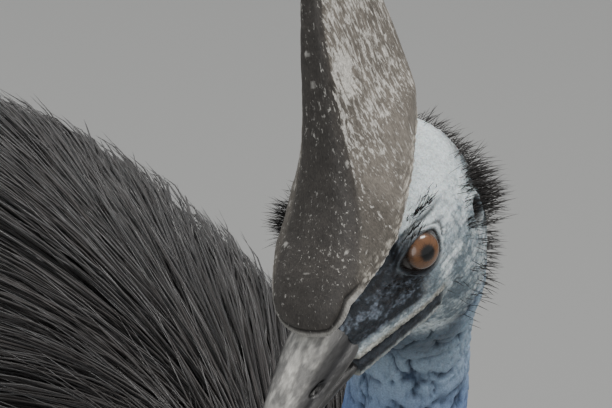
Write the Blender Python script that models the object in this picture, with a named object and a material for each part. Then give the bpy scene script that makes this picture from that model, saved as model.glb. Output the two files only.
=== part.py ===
"""A southern cassowary, life size, standing still with its head turned to its right.

Metres, +Z up. The bird faces -Y, so its left side is +X. The ground is the plane z = 0.
Sizes of the head are written in its own axes: forward to the bill, left, and up to the casque,
measured from the point midway between the eyes.
"""

import math

import bmesh
import bpy
import numpy as np
from mathutils import Matrix, Vector
from mathutils.bvhtree import BVHTree

# Clearance left between neighbouring solids, wider where a node meets the locks' sharp creases
GAP = 0.0003
SHAGGY_GAP = 0.0010

# The locks' small differences come from these
BODY_SEED = 11
THIGH_SEED = 21

# Head: where it is and how it is turned
EYES_MIDWAY = Vector((-0.074, -0.410, 1.355))
HEAD_TURN = 68.0
HEAD_DIP = 12.0
HEAD_TILT = 9.6

# Eye and lids
EYE_RADIUS = 0.0145
EYE_OUT = 0.0290
EYE_FACES = (0.35, 0.88, 0.25)
LID_THICKNESS = 0.0018
LID_OPENING = (0.0128, 0.0112)

# Ear, mouth and nostril, in the head's own axes
EAR_AT = (-0.045, -0.014)
EAR_RIM = (0.0070, 0.0095, 0.0026)
EAR_HOLE = (0.0046, 0.0068, 0.0060)
MOUTH_LINE = ((0.0555, -0.0312), (0.045, -0.0320), (0.030, -0.0345), (0.012, -0.0375), (-0.007, -0.0398))
MOUTH_GROOVE = 0.0011
LIP_ABOVE = 0.0034
BROW_LINE = ((0.028, 0.0040, 0.0010), (0.012, 0.0120, 0.0028), (-0.008, 0.0175, 0.0030), (-0.030, 0.0180, 0.0010))
NOSTRIL_AT = (0.088, -0.0195)
NOSTRIL = (0.0062, 0.0016, 0.0030)

# Folds of the bare neck
FOLD_HEIGHT = 0.0026
FOLD_LENGTH = 0.030

# Body and legs
FEET_APART = 0.236
STRIDE = 0.040
FOOT_Y = 0.105
SCUTE_RISE = 0.10
SHANK_SCUTES = 12

# Plumage: the way it lies, the depth of the coat over its core, and the size of one lock
LIE = Vector((0, 0.75, -0.65))
COAT_DEPTH = 0.027
LOCK_LENGTH = 0.205
LOCK_WIDTH = 0.078
LOCK_THICKNESS = 0.011
LOCK_STEPS = 3
LOCK_SHAPE = (0.62, 1.00, 0.68)
LOCK_HEIGHT = (-0.45, 0.42, 0.74, 0.90)
TORSO_ROWS = 8
TAIL_ROWS = 2
LOCK_SPACING = 0.135

# Bare quills on each wing
QUILLS = 5

# Detail of the lofts
AROUND_NECK = 22
AROUND_BODY = 16


def spot(forward, left, up):
    """A place on the head, from the head's own axes."""
    return EYES_MIDWAY + FORWARD * forward + LEFT * left + UP * up


def head_axes():
    """The head's forward, left and up directions."""
    turn, dip, tilt = (math.radians(angle) for angle in (HEAD_TURN, HEAD_DIP, HEAD_TILT))
    forward = Vector((-math.sin(turn) * math.cos(dip), -math.cos(turn) * math.cos(dip), -math.sin(dip)))
    level_left = Vector((0, 0, 1)).cross(forward).normalized()
    left = Matrix.Rotation(tilt, 3, forward) @ level_left
    return forward, left, forward.cross(left)


FORWARD, LEFT, UP = head_axes()


def clear_scene():
    """Removes whatever the startup file holds."""
    for thing in list(bpy.data.objects):
        bpy.data.objects.remove(thing)


def make_materials():
    """One plain material for each kind of surface."""
    looks = {
        "plumage": ((0.016, 0.014, 0.014), 0.55),
        "face_skin": ((0.45, 0.62, 0.72), 0.60),
        "neck_skin": ((0.07, 0.14, 0.42), 0.60),
        "wattle_skin": ((0.55, 0.05, 0.05), 0.50),
        "casque_horn": ((0.22, 0.17, 0.12), 0.45),
        "bill_horn": ((0.12, 0.12, 0.12), 0.40),
        "eye": ((0.10, 0.03, 0.01), 0.08),
        "leg_scale": ((0.20, 0.18, 0.15), 0.65),
        "claw_horn": ((0.10, 0.09, 0.08), 0.35),
        "quill_horn": ((0.02, 0.02, 0.02), 0.30),
    }
    made = {}
    for name, (colour, roughness) in looks.items():
        material = bpy.data.materials.new(name)
        material.use_nodes = True
        shader = material.node_tree.nodes["Principled BSDF"]
        shader.inputs["Base Color"].default_value = (*colour, 1)
        shader.inputs["Roughness"].default_value = roughness
        made[name] = material
    return made


def smooth_rows(rows, places):
    """A table's rows read along a smooth curve through them, at the given places or that many even steps."""
    rows = np.asarray(rows, float)
    last = len(rows) - 1
    read = []
    for place in np.linspace(0, last, places) if isinstance(places, int) else places:
        i = min(int(place), last - 1)
        f = place - i
        before, here, there, after = (rows[min(max(j, 0), last)] for j in (i - 1, i, i + 1, i + 2))
        read.append(
            0.5
            * (
                2 * here
                + (there - before) * f
                + (2 * before - 5 * here + 4 * there - after) * f * f
                + (3 * here - before - 3 * there + after) * f**3
            )
        )
    return np.array(read)


def power(value, exponent):
    """value raised to exponent, with its sign kept."""
    return math.copysign(abs(value) ** exponent, value)


def ring(centre, dorsal, side, lift=0.0, square=1.0, count=AROUND_NECK, raised=0.0):
    """A closed section from its two half axes.

    Lift widens its upper part, a square under 1 fills its corners, and raised pushes its crown out.
    """
    points = []
    for k in range(count):
        angle = 2 * math.pi * k / count
        up = power(math.cos(angle), square)
        out = power(math.sin(angle), square)
        crown = up * (1 + raised) if up > 0.3 else up
        points.append(Vector(centre) + Vector(dorsal) * crown + Vector(side) * (out * (1 + lift * up)))
    return points


def finish_mesh(name, bm, material):
    """The object of a bmesh, facing out, shaded smooth and in the scene."""
    bmesh.ops.recalc_face_normals(bm, faces=bm.faces)
    mesh = bpy.data.meshes.new(name)
    bm.to_mesh(mesh)
    bm.free()
    made = bpy.data.objects.new(name, mesh)
    bpy.context.scene.collection.objects.link(made)
    if material:
        mesh.materials.append(material)
    mesh.shade_smooth()
    mesh.set_sharp_from_angle(angle=math.radians(50))
    return made


def loft(name, rings, material=None):
    """One closed body through rings of equal count, with flat ends."""
    bm = bmesh.new()
    rows = [[bm.verts.new(point) for point in points] for points in rings]
    for low, high in zip(rows, rows[1:]):
        for i in range(len(low)):
            j = (i + 1) % len(low)
            bm.faces.new((low[i], low[j], high[j], high[i]))
    bm.faces.new(list(reversed(rows[0])))
    bm.faces.new(rows[-1])
    return finish_mesh(name, bm, material)


def ball(name, centre, axes, segments=14, rows=8, material=None):
    """An ellipsoid whose three half axes are vectors."""
    bm = bmesh.new()
    bmesh.ops.create_uvsphere(bm, u_segments=segments, v_segments=rows, radius=1)
    matrix = Matrix(axes).transposed().to_4x4()
    matrix.translation = centre
    bmesh.ops.transform(bm, matrix=matrix, verts=bm.verts)
    return finish_mesh(name, bm, material)


def tube(name, path, radii, sides=8, material=None):
    """A tapered rod along a path, its sections square to it."""
    rings = []
    normal = Vector((0, 0, 1))
    for i, point in enumerate(path):
        along = (Vector(path[min(i + 1, len(path) - 1)]) - Vector(path[max(i - 1, 0)])).normalized()
        if abs(along.dot(normal)) > 0.95:
            normal = Vector((0, 1, 0))
        across = along.cross(normal).normalized()
        rings.append(ring(point, across.cross(along) * radii[i], across * radii[i], count=sides))
    return loft(name, rings, material)


def tree_of(thing):
    """A search tree over an object's surface."""
    bm = bmesh.new()
    bm.from_mesh(thing.data)
    tree = BVHTree.FromBMesh(bm)
    bm.free()
    return tree


def apply_modifiers(thing):
    """Makes the evaluated mesh the object's own."""
    graph = bpy.context.evaluated_depsgraph_get()
    mesh = bpy.data.meshes.new_from_object(thing.evaluated_get(graph))
    old = thing.data
    thing.modifiers.clear()
    thing.data = mesh
    bpy.data.meshes.remove(old)
    mesh.name = thing.name


def largest_surface(thing):
    """Drops every loose scrap and sealed hollow, keeping the largest closed surface."""
    bm = bmesh.new()
    bm.from_mesh(thing.data)
    unseen = set(bm.faces)
    groups = []
    while unseen:
        group = {unseen.pop()}
        edge_of_group = list(group)
        while edge_of_group:
            face = edge_of_group.pop()
            for edge in face.edges:
                for other in edge.link_faces:
                    if other in unseen:
                        unseen.discard(other)
                        group.add(other)
                        edge_of_group.append(other)
        groups.append(group)
    groups.sort(key=lambda group: sum(face.calc_area() for face in group))
    drop = [face for group in groups[:-1] for face in group]
    bmesh.ops.delete(bm, geom=drop, context="FACES")
    bm.to_mesh(thing.data)
    bm.free()


def triangulate(thing):
    """Splits every bent face into flat ones, so that each later step sees the same surface."""
    bm = bmesh.new()
    bm.from_mesh(thing.data)
    bmesh.ops.triangulate(bm, faces=bm.faces[:])
    bm.to_mesh(thing.data)
    bm.free()


def boolean(thing, others, operation, solver="MANIFOLD"):
    """Joins or cuts thing by the other meshes, which are then removed."""
    helpers = bpy.data.collections.new("helpers")
    for other in others:
        helpers.objects.link(other)
    change = thing.modifiers.new(operation.lower(), "BOOLEAN")
    change.operation = operation
    change.operand_type = "COLLECTION"
    change.collection = helpers
    change.solver = solver
    bpy.context.view_layer.update()
    material = thing.data.materials[0] if thing.data.materials else None
    apply_modifiers(thing)
    thing.data.materials.clear()
    if material:
        thing.data.materials.append(material)
    for other in list(helpers.objects):
        bpy.data.objects.remove(other)
    bpy.data.collections.remove(helpers)
    largest_surface(thing)
    return thing


def grown(thing, by=GAP):
    """A copy of a solid with every point moved outward."""
    copy = bpy.data.objects.new(thing.name + "_grown", thing.data.copy())
    bpy.context.scene.collection.objects.link(copy)
    for vertex in copy.data.vertices:
        vertex.co += vertex.normal * by
    return copy


def fit_against(thing, *supports, by=GAP):
    """Cuts thing clear of the solids that it grows from, so that they meet face to face."""
    for support in supports:
        boolean(thing, [grown(support, by)], "DIFFERENCE")
    return thing


def part_with_plane(whole, name, point, normal, material):
    """Splits whole at a plane: the far side becomes a new object, with GAP left between the two."""
    far = bpy.data.objects.new(name, whole.data.copy())
    bpy.context.scene.collection.objects.link(far)
    far.data.materials.clear()
    far.data.materials.append(material)
    for thing, sign in ((whole, -1), (far, 1)):
        bm = bmesh.new()
        bm.from_mesh(thing.data)
        cut = bmesh.ops.bisect_plane(
            bm,
            geom=bm.verts[:] + bm.edges[:] + bm.faces[:],
            plane_co=Vector(point) + Vector(normal) * (sign * GAP / 2),
            plane_no=Vector(normal),
            clear_outer=sign < 0,
            clear_inner=sign > 0,
            dist=1e-6,
        )
        edges = [piece for piece in cut["geom_cut"] if isinstance(piece, bmesh.types.BMEdge)]
        bmesh.ops.contextual_create(bm, geom=edges)
        bmesh.ops.recalc_face_normals(bm, faces=bm.faces)
        bm.to_mesh(thing.data)
        bm.free()
    return far


# Sections of the head, each as throat forward, throat up, crown forward, crown up, half width,
# shift to the left, lift and squareness. They fan round the corner of the throat into the neck.
HEAD_SECTIONS = (
    (0.0560, -0.0460, 0.0560, -0.0040, 0.0185, 0.0000, 0.02, 0.95),
    (0.0400, -0.0500, 0.0390, 0.0020, 0.0250, 0.0000, 0.10, 0.92),
    (0.0240, -0.0545, 0.0200, 0.0100, 0.0310, 0.0000, 0.16, 0.88),
    (0.0080, -0.0590, 0.0000, 0.0210, 0.0375, 0.0000, 0.18, 0.86),
    (-0.0030, -0.0630, -0.0220, 0.0320, 0.0400, 0.0000, 0.14, 0.88),
    (-0.0080, -0.0670, -0.0480, 0.0370, 0.0410, 0.0000, 0.08, 0.92),
    (-0.0110, -0.0720, -0.0690, 0.0200, 0.0410, 0.0000, 0.03, 0.96),
    (-0.0130, -0.0780, -0.0780, -0.0100, 0.0395, 0.0000, 0.00, 1.00),
    (-0.0140, -0.0860, -0.0800, -0.0400, 0.0370, -0.0030, 0.00, 1.00),
    (-0.0145, -0.0970, -0.0790, -0.0740, 0.0345, -0.0080, 0.00, 1.00),
)

# Neck below the head, each as centre, the way its back faces, the way its left side faces,
# half depth and half width. It turns back from the head's direction to the body's.
NECK_SECTIONS = (
    ((-0.0070, -0.3770, 1.240), (0.86, 0.48, 0.16), (0.45, -0.88, 0.06), 0.0335, 0.0330),
    ((-0.0050, -0.3710, 1.175), (0.66, 0.74, 0.14), (0.74, -0.66, 0.02), 0.0345, 0.0340),
    ((-0.0040, -0.3560, 1.105), (0.36, 0.90, 0.22), (0.93, -0.36, 0.00), 0.0370, 0.0360),
    ((-0.0020, -0.3370, 1.040), (0.12, 0.94, 0.32), (0.99, -0.12, 0.00), 0.0420, 0.0400),
    ((0.0000, -0.3090, 0.975), (0.00, 0.90, 0.43), (1.00, 0.00, 0.00), 0.0500, 0.0470),
    ((0.0000, -0.2700, 0.915), (0.00, 0.84, 0.54), (1.00, 0.00, 0.00), 0.0600, 0.0560),
    ((0.0000, -0.2250, 0.865), (0.00, 0.80, 0.60), (1.00, 0.00, 0.00), 0.0560, 0.0540),
)

# Where the rings of head and neck lie along their sections, closest on the folded neck, and where they part
HEAD_RINGS = (*np.linspace(0, 8.6, 21), 9.1, 9.55)
FOLDED_RINGS = tuple(np.linspace(10, 13.9, 27))
SKIN_RINGS = (*HEAD_RINGS, *FOLDED_RINGS, 14.4, 15.0, 16.0)
FOLDS_FROM = 9.3
NECK_CUTS = (("neck_upper", 10.0), ("neck_middle", 11.9), ("neck_lower", 13.5))


def neck_rows():
    """Head and neck sections as one table: centre, dorsal half axis, side half axis, lift and squareness."""
    rows = []
    for throat_f, throat_u, crown_f, crown_u, half_width, shift, lift, square in HEAD_SECTIONS:
        throat = spot(throat_f, shift, throat_u)
        crown = spot(crown_f, shift, crown_u)
        rows.append([*((throat + crown) / 2), *((crown - throat) / 2), *(LEFT * half_width), lift, square])
    for centre, back, left, half_depth, half_width in NECK_SECTIONS:
        dorsal = Vector(back).normalized() * half_depth
        side = Vector(left).normalized() * half_width
        rows.append([*centre, *dorsal, *side, 0.0, 1.0])
    return rows


def fold_height(along, angle):
    """How far the worm-like folds of the neck stand out at a place."""
    wander = 1.5 * math.sin(2 * angle + 9 * along) + 0.9 * math.sin(3 * angle + 1 - 14 * along)
    wave = math.sin(2 * math.pi * along / FOLD_LENGTH + wander)
    return FOLD_HEIGHT * (wave - 0.2)


def head_and_neck(materials):
    """The skin from the bill's root to the body, parted into the head and three lengths of neck."""
    table = smooth_rows(neck_rows(), SKIN_RINGS)
    rings = []
    along = 0.0
    for i, (place, row) in enumerate(zip(SKIN_RINGS, table)):
        along += (Vector(row[0:3]) - Vector(table[max(i - 1, 0)][0:3])).length
        points = ring(row[0:3], row[3:6], row[6:9], row[9], row[10])
        ease = min(max(place - FOLDS_FROM, 0), 1)
        centre = Vector(row[0:3])
        for k, point in enumerate(points):
            angle = 2 * math.pi * k / AROUND_NECK
            points[k] = point + (point - centre).normalized() * (ease * fold_height(along, angle))
        rings.append(points)
    head = loft("head", rings, materials["face_skin"])
    pieces = [head]
    for name, place in NECK_CUTS:
        row, after = smooth_rows(neck_rows(), (place, place + 0.1))
        here = Vector(row[0:3])
        facing = Vector(row[3:6]).cross(Vector(row[6:9])).normalized()
        if facing.dot(Vector(after[0:3]) - here) < 0:
            facing.negate()
        pieces.append(part_with_plane(pieces[-1], name, here, facing, materials["neck_skin"]))
    return pieces


def on_side(thing_tree, forward, up, side):
    """The place on one side of the head at a given forward and up, with the surface's outward direction."""
    start = spot(forward, side * 0.08, up)
    place, normal = thing_tree.ray_cast(start, LEFT * -side)[:2]
    return place, normal


def face_features(head):
    """Brows, lips, the line of the mouth and the ears, on both sides of the head."""
    tree = tree_of(head)
    raised = []
    cut = []
    for side in (1, -1):
        brow = [on_side(tree, forward, up, side)[0] for forward, up, radius in BROW_LINE]
        raised.append(tube("brow", brow, [radius for forward, up, radius in BROW_LINE], 5))
        line = [on_side(tree, forward, up, side) for forward, up in MOUTH_LINE]
        path = [line[0][0] + FORWARD * 0.003, *(place for place, normal in line)]
        cut.append(tube("mouth", path, [MOUTH_GROOVE] * len(path), 4))
        lip = [place + UP * LIP_ABOVE - normal * 0.0008 for place, normal in line[1:]]
        raised.append(tube("lip", lip, (0.0022, 0.0022, 0.0020, 0.0008), 5))
        place, normal = on_side(tree, *EAR_AT, side)
        upright = (UP - normal * UP.dot(normal)).normalized()
        across = normal.cross(upright)
        for pieces, (wide, tall, deep) in ((raised, EAR_RIM), (cut, EAR_HOLE)):
            pieces.append(ball("ear", place, (across * wide, upright * tall, normal * deep), 10, 6))
    boolean(head, raised, "UNION")
    boolean(head, cut, "DIFFERENCE")


def bill(materials):
    """Upper and lower halves, parted along the mouth."""
    upper_rows = (
        (0.0563, -0.0040, -0.0312, 0.0185),
        (0.0700, -0.0050, -0.0315, 0.0172),
        (0.0850, -0.0095, -0.0320, 0.0152),
        (0.1000, -0.0145, -0.0328, 0.0130),
        (0.1150, -0.0200, -0.0338, 0.0105),
        (0.1260, -0.0265, -0.0370, 0.0072),
        (0.1330, -0.0350, -0.0425, 0.0030),
    )
    lower_rows = (
        (0.0563, -0.0318, -0.0460, 0.0160),
        (0.0700, -0.0320, -0.0450, 0.0132),
        (0.0850, -0.0326, -0.0440, 0.0108),
        (0.1000, -0.0334, -0.0430, 0.0090),
        (0.1130, -0.0344, -0.0415, 0.0068),
        (0.1220, -0.0368, -0.0405, 0.0034),
    )
    made = []
    for name, rows, square in (("bill_upper", upper_rows, 0.85), ("bill_lower", lower_rows, 0.85)):
        rings = []
        for forward, top, bottom, half_width in smooth_rows(rows, 12):
            centre = spot(forward, 0, (top + bottom) / 2)
            lift = -0.35 if name == "bill_upper" else 0.30
            rings.append(ring(centre, UP * (top - bottom) / 2, LEFT * half_width, lift, square, 12))
        made.append(loft(name, rings, materials["bill_horn"]))
    tree = tree_of(made[0])
    nostrils = []
    for side in (1, -1):
        place, normal = on_side(tree, *NOSTRIL_AT, side)
        along = (FORWARD - normal * FORWARD.dot(normal)).normalized()
        wide, tall, deep = NOSTRIL
        nostrils.append(ball("nostril", place, (along * wide, normal.cross(along) * tall, normal * deep), 8, 5))
    boolean(made[0], nostrils, "DIFFERENCE")
    return made


def casque(materials, head, upper):
    """The helmet: a thin tall blade over a broad base that sits on the crown and the root of the bill."""
    rows = (
        (-0.0140, 0.0660, -0.0560, 0.0255, 0.75),
        (0.0040, 0.0690, -0.0590, 0.0300, 0.74),
        (0.0200, 0.0570, -0.0610, 0.0315, 0.72),
        (0.0360, 0.0370, -0.0630, 0.0285, 0.68),
        (0.0540, 0.0215, -0.0650, 0.0225, 0.60),
        (0.0780, 0.0100, -0.0675, 0.0160, 0.54),
        (0.1040, 0.0010, -0.0675, 0.0120, 0.50),
        (0.1300, -0.0080, -0.0650, 0.0095, 0.50),
        (0.1500, -0.0170, -0.0610, 0.0075, 0.54),
        (0.1630, -0.0270, -0.0540, 0.0050, 0.62),
        (0.1680, -0.0350, -0.0470, 0.0018, 0.80),
    )
    rings = []
    for up, front, back, half_width, square in smooth_rows(rows, 15):
        centre = spot((front + back) / 2, 0, up)
        rings.append(ring(centre, FORWARD * (front - back) / 2, LEFT * half_width, 0, square, 18))
    made = loft("casque", rings, materials["casque_horn"])
    profile = (
        (0.100, -0.008),
        (0.066, -0.005),
        (0.054, 0.006),
        (0.036, 0.0115),
        (0.011, 0.019),
        (-0.011, 0.030),
        (-0.058, 0.034),
        (-0.100, 0.034),
    )
    bm = bmesh.new()
    edge = [bm.verts.new(spot(f, -0.06, u)) for f, u in profile]
    edge += [bm.verts.new(spot(f, -0.06, -0.06)) for f in (-0.100, 0.100)]
    face = bm.faces.new(edge)
    swept = bmesh.ops.extrude_face_region(bm, geom=[face])
    bmesh.ops.translate(bm, vec=LEFT * 0.12, verts=[v for v in swept["geom"] if isinstance(v, bmesh.types.BMVert)])
    boolean(made, [finish_mesh("under_casque", bm, None)], "DIFFERENCE")
    return fit_against(made, head, upper)


def eyes(materials, head):
    """Two balls in sockets of the head, each behind lids that stand out round an oval opening."""
    made = []
    for name, side in (("eye_left", 1), ("eye_right", -1)):
        centre = spot(0, side * EYE_OUT, 0)
        faces = (FORWARD * EYE_FACES[0] + LEFT * (side * EYE_FACES[1]) + UP * EYE_FACES[2]).normalized()
        upright = (UP - faces * UP.dot(faces)).normalized()
        along = faces.cross(upright)
        lids = EYE_RADIUS + GAP + LID_THICKNESS
        boolean(head, [ball("lids", centre, (faces * lids, upright * lids, along * lids))], "UNION")
        opening = [
            ring(centre + faces * (share * lids), upright * LID_OPENING[1], along * LID_OPENING[0], count=16)
            for share in (0.3, 1.4)
        ]
        boolean(head, [loft("opening", opening)], "DIFFERENCE")
        socket = EYE_RADIUS + GAP
        boolean(head, [ball("socket", centre, (faces * socket, upright * socket, along * socket))], "DIFFERENCE")
        axes = (faces * EYE_RADIUS, upright * EYE_RADIUS, along * EYE_RADIUS)
        made.append(ball(name, centre, axes, material=materials["eye"]))
    return made


# Body sections, each as distance back, height of centre, half height, half width and lift
BODY_SECTIONS = (
    (-0.372, 0.805, 0.060, 0.060, 0.00),
    (-0.350, 0.810, 0.105, 0.100, 0.00),
    (-0.290, 0.820, 0.160, 0.148, 0.00),
    (-0.200, 0.820, 0.208, 0.190, -0.04),
    (-0.080, 0.812, 0.250, 0.222, -0.06),
    (0.060, 0.808, 0.270, 0.236, -0.08),
    (0.200, 0.795, 0.270, 0.234, -0.08),
    (0.330, 0.768, 0.255, 0.216, -0.08),
    (0.440, 0.728, 0.228, 0.182, -0.06),
    (0.530, 0.678, 0.185, 0.140, -0.04),
    (0.600, 0.625, 0.128, 0.090, 0.00),
    (0.640, 0.585, 0.060, 0.045, 0.00),
)
TAIL_FROM = 0.42

# Collar of plumage up the root of the neck, each as centre, half depth and half width
COLLAR_SECTIONS = (
    (-0.200, 0.850, 0.150, 0.140),
    (-0.245, 0.905, 0.118, 0.108),
    (-0.283, 0.955, 0.086, 0.080),
    (-0.303, 0.995, 0.067, 0.063),
)


def lock(tree, root, lie, length, width, rise, rng):
    """One flat, tapered lock that follows the lie over a surface, its root sunk in and its tip hanging free."""
    step = length / LOCK_STEPS
    sway = rng.uniform(-0.22, 0.22)
    here, normal = tree.find_nearest(root)[:2]
    started_under = normal.z < -0.25
    heading = (lie - normal * lie.dot(normal)).normalized()
    rows = []
    for k in range(LOCK_STEPS + 1):
        across = normal.cross(heading).normalized()
        centre = here + normal * (rise * LOCK_HEIGHT[k])
        if k == LOCK_STEPS:
            tip = centre
            break
        half = width / 2 * LOCK_SHAPE[k]
        thick = LOCK_THICKNESS * (1 - 0.15 * k)
        rows.append((centre - across * half, centre + normal * thick, centre + across * half))
        there = here + heading * step
        snapped, facing = tree.find_nearest(there)[:2]
        if facing.z > -0.25 or started_under:
            here, normal = snapped, facing
        else:
            here = there
            heading = (heading + Vector((0, 0, -0.35))).normalized()
        way = lie + across * sway
        heading = (way - normal * way.dot(normal)).normalized()
    bm = bmesh.new()
    rows = [[bm.verts.new(point) for point in row] for row in rows]
    end = bm.verts.new(tip)
    for low, high in zip(rows, rows[1:]):
        for i in range(3):
            j = (i + 1) % 3
            bm.faces.new((low[i], low[j], high[j], high[i]))
    for i in range(3):
        bm.faces.new((rows[-1][i], rows[-1][(i + 1) % 3], end))
    bm.faces.new(rows[0])
    bmesh.ops.triangulate(bm, faces=bm.faces)
    return finish_mesh("lock", bm, None)


def body_core():
    """The smooth middle of the plumage that the locks grow from, with the collar round the neck's root."""
    rings = []
    for back, height, half_height, half_width, lift in smooth_rows(BODY_SECTIONS, 14):
        tall, wide = half_height - COAT_DEPTH, half_width - COAT_DEPTH
        squeeze = 1 - COAT_DEPTH / 0.5
        rings.append(ring((0, back * squeeze, height), (0, 0, tall), (wide, 0, 0), lift, 0.95, AROUND_BODY))
    core = loft("torso", rings)
    rings = []
    for back, height, depth, width in smooth_rows(COLLAR_SECTIONS, 6):
        thin = COAT_DEPTH * 0.4
        rings.append(
            ring((0, back, height), (0, (depth - thin) * 0.85, (depth - thin) * 0.53), (width - thin, 0, 0), count=20)
        )
    return boolean(core, [loft("collar", rings)], "UNION")


def under_thigh(root):
    """Whether a root on the belly lies where a thigh comes out."""
    for side in (1, -1):
        x, y = side * FEET_APART / 2 * 0.92, 0.125 - side * STRIDE * 0.7
        if root.z < 0.66 and abs(root.x - x) < 0.085 and abs(root.y - y) < 0.115:
            return True
    return False


def body_locks(tree):
    """The locks of torso, tail and collar, in staggered rows round the body."""
    rng = np.random.default_rng(BODY_SEED)
    locks = []
    rows = TORSO_ROWS + TAIL_ROWS
    for i, row in enumerate(smooth_rows(BODY_SECTIONS, np.linspace(0.7, len(BODY_SECTIONS) - 2.7, rows))):
        back, height, half_height, half_width = row[:4]
        round_it = 2 * math.pi * math.sqrt((half_height**2 + half_width**2) / 2)
        count = max(int(round_it / LOCK_SPACING), 5)
        for k in range(count):
            angle = 2 * math.pi * (k + (i % 2) / 2 + rng.uniform(-0.2, 0.2)) / count
            root = Vector((half_width * math.sin(angle), back - 0.03, height + half_height * math.cos(angle)))
            if under_thigh(root):
                continue
            lie = LIE + Vector((0.3 * math.sin(angle), 0, 0))
            length = LOCK_LENGTH * rng.uniform(0.85, 1.15)
            locks.append(lock(tree, root, lie, length, LOCK_WIDTH * rng.uniform(0.85, 1.15), COAT_DEPTH, rng))
    for i, row in enumerate(smooth_rows(COLLAR_SECTIONS, (1.3, 2.6))):
        back, height, depth, width = row
        count = (9, 8)[i]
        for k in range(count):
            angle = 2 * math.pi * (k + i / 2) / count
            root = Vector((width * math.sin(angle), back + depth * 0.85 * math.cos(angle), height))
            root.z += depth * 0.53 * math.cos(angle)
            locks.append(lock(tree, root, LIE, 0.12, 0.050, COAT_DEPTH * 0.5, rng))
    return locks


def body(materials, necks):
    """Torso and tail: shaggy plumage of overlapping locks on a smooth core."""
    torso = body_core()
    torso.data.materials.append(materials["plumage"])
    boolean(torso, body_locks(tree_of(torso)), "UNION")
    tail = part_with_plane(torso, "tail", (0, TAIL_FROM, 0.8), (0, 1, 0), materials["plumage"])
    largest_surface(torso)
    largest_surface(tail)
    for piece in (torso, *necks):
        triangulate(piece)
    fit_against(torso, *necks)
    return torso, tail


def thigh(side, name, materials, torso, leg):
    """The feathered upper leg, from inside the body to just above the hock."""
    x = side * FEET_APART / 2
    shift = -side * STRIDE
    rows = (
        (x * 0.86, 0.080 + shift * 0.5, 0.720, 0.105, 0.085),
        (x * 0.92, 0.110 + shift * 0.6, 0.640, 0.100, 0.078),
        (x * 0.97, 0.140 + shift * 0.8, 0.570, 0.074, 0.062),
        (x, 0.166 + shift * 0.9, 0.520, 0.050, 0.045),
        (x, 0.182 + shift, 0.487, 0.036, 0.033),
        (x, 0.190 + shift, 0.472, 0.029, 0.027),
    )
    rings = []
    for cx, cy, cz, depth, width in smooth_rows(rows, 7):
        thin = 0.010
        rings.append(
            ring((cx, cy, cz), (0, thin - depth, (thin - depth) * 0.35), (width - thin, 0, 0), 0.0, 1.0, 12)
        )
    made = loft(name, rings, materials["plumage"])
    tree = tree_of(made)
    rng = np.random.default_rng(THIGH_SEED)
    locks = []
    for i, (cx, cy, cz, depth, width) in enumerate(smooth_rows(rows, (1.9, 2.9))):
        count = (6, 6)[i]
        for k in range(count):
            angle = 2 * math.pi * (k + i / 2) / count
            root = Vector((cx + width * math.sin(angle), cy - depth * math.cos(angle), cz))
            locks.append(lock(tree, root, Vector((0, 0.15, -1)), 0.115, 0.058, 0.013, rng))
    boolean(made, locks, "UNION")
    triangulate(made)
    fit_against(made, torso, by=0)
    fit_against(made, torso, by=SHAGGY_GAP)
    return fit_against(made, leg)


def shank(side, name, materials):
    """The bare lower leg: the end of the tibia, the hock and the long shank with its front scutes."""
    x = side * FEET_APART / 2
    shift = -side * STRIDE
    rows = (
        (x, 0.1905 + shift, 0.4712, 0.0270, 0.0250),
        (x, 0.2020 + shift, 0.4500, 0.0290, 0.0270),
        (x, 0.2090 + shift, 0.4280, 0.0340, 0.0320),
        (x, 0.2050 + shift, 0.4020, 0.0330, 0.0310),
        (x, 0.1950 + shift, 0.3720, 0.0260, 0.0235),
        (x, 0.1820 + shift, 0.3300, 0.0225, 0.0185),
        (x, 0.1560 + shift, 0.2400, 0.0210, 0.0175),
        (x, 0.1300 + shift, 0.1500, 0.0220, 0.0190),
        (x, 0.1140 + shift, 0.0950, 0.0260, 0.0235),
        (x, 0.1050 + shift, 0.0620, 0.0300, 0.0280),
    )
    places = []
    for k in range(SHANK_SCUTES):
        top = 3.0 + 5.8 * k / SHANK_SCUTES
        places += [(top, 0.0), (top + 5.8 / SHANK_SCUTES * 0.93, SCUTE_RISE)]
    rings = []
    for place, raised in ((0, 0), (1, 0), (2, 0), *places, (9, 0)):
        cx, cy, cz, depth, width = smooth_rows(rows, (place,))[0]
        rings.append(ring((cx, cy, cz), (0, -depth, -depth * 0.25), (width, 0, 0), 0.0, 0.95, 10, raised))
    return loft(name, rings, materials["leg_scale"])


# Toes, each as name, turn outward in degrees, length to the claw, half width, claw length and scutes
TOES = (
    ("middle", 3.0, 0.158, 0.0185, 0.052, 6),
    ("inner", -34.0, 0.088, 0.0165, 0.110, 4),
    ("outer", 36.0, 0.118, 0.0150, 0.040, 5),
)

# Shape of a toe, each as share of its length, half height and share of its width, with pads between the joints
TOE_ROWS = (
    (0.000, 0.0210, 0.95),
    (0.300, 0.0185, 1.05),
    (0.500, 0.0150, 0.92),
    (0.720, 0.0150, 1.02),
    (0.900, 0.0115, 0.86),
    (1.000, 0.0085, 0.66),
)
CLAW_ROWS = (
    (0.00, 0.0110, 0.0078, 0.0062),
    (0.25, 0.0125, 0.0078, 0.0064),
    (0.50, 0.0120, 0.0062, 0.0050),
    (0.75, 0.0085, 0.0040, 0.0034),
    (1.00, 0.0020, 0.0012, 0.0010),
)
CLAW_ROOT = 0.012


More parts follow.
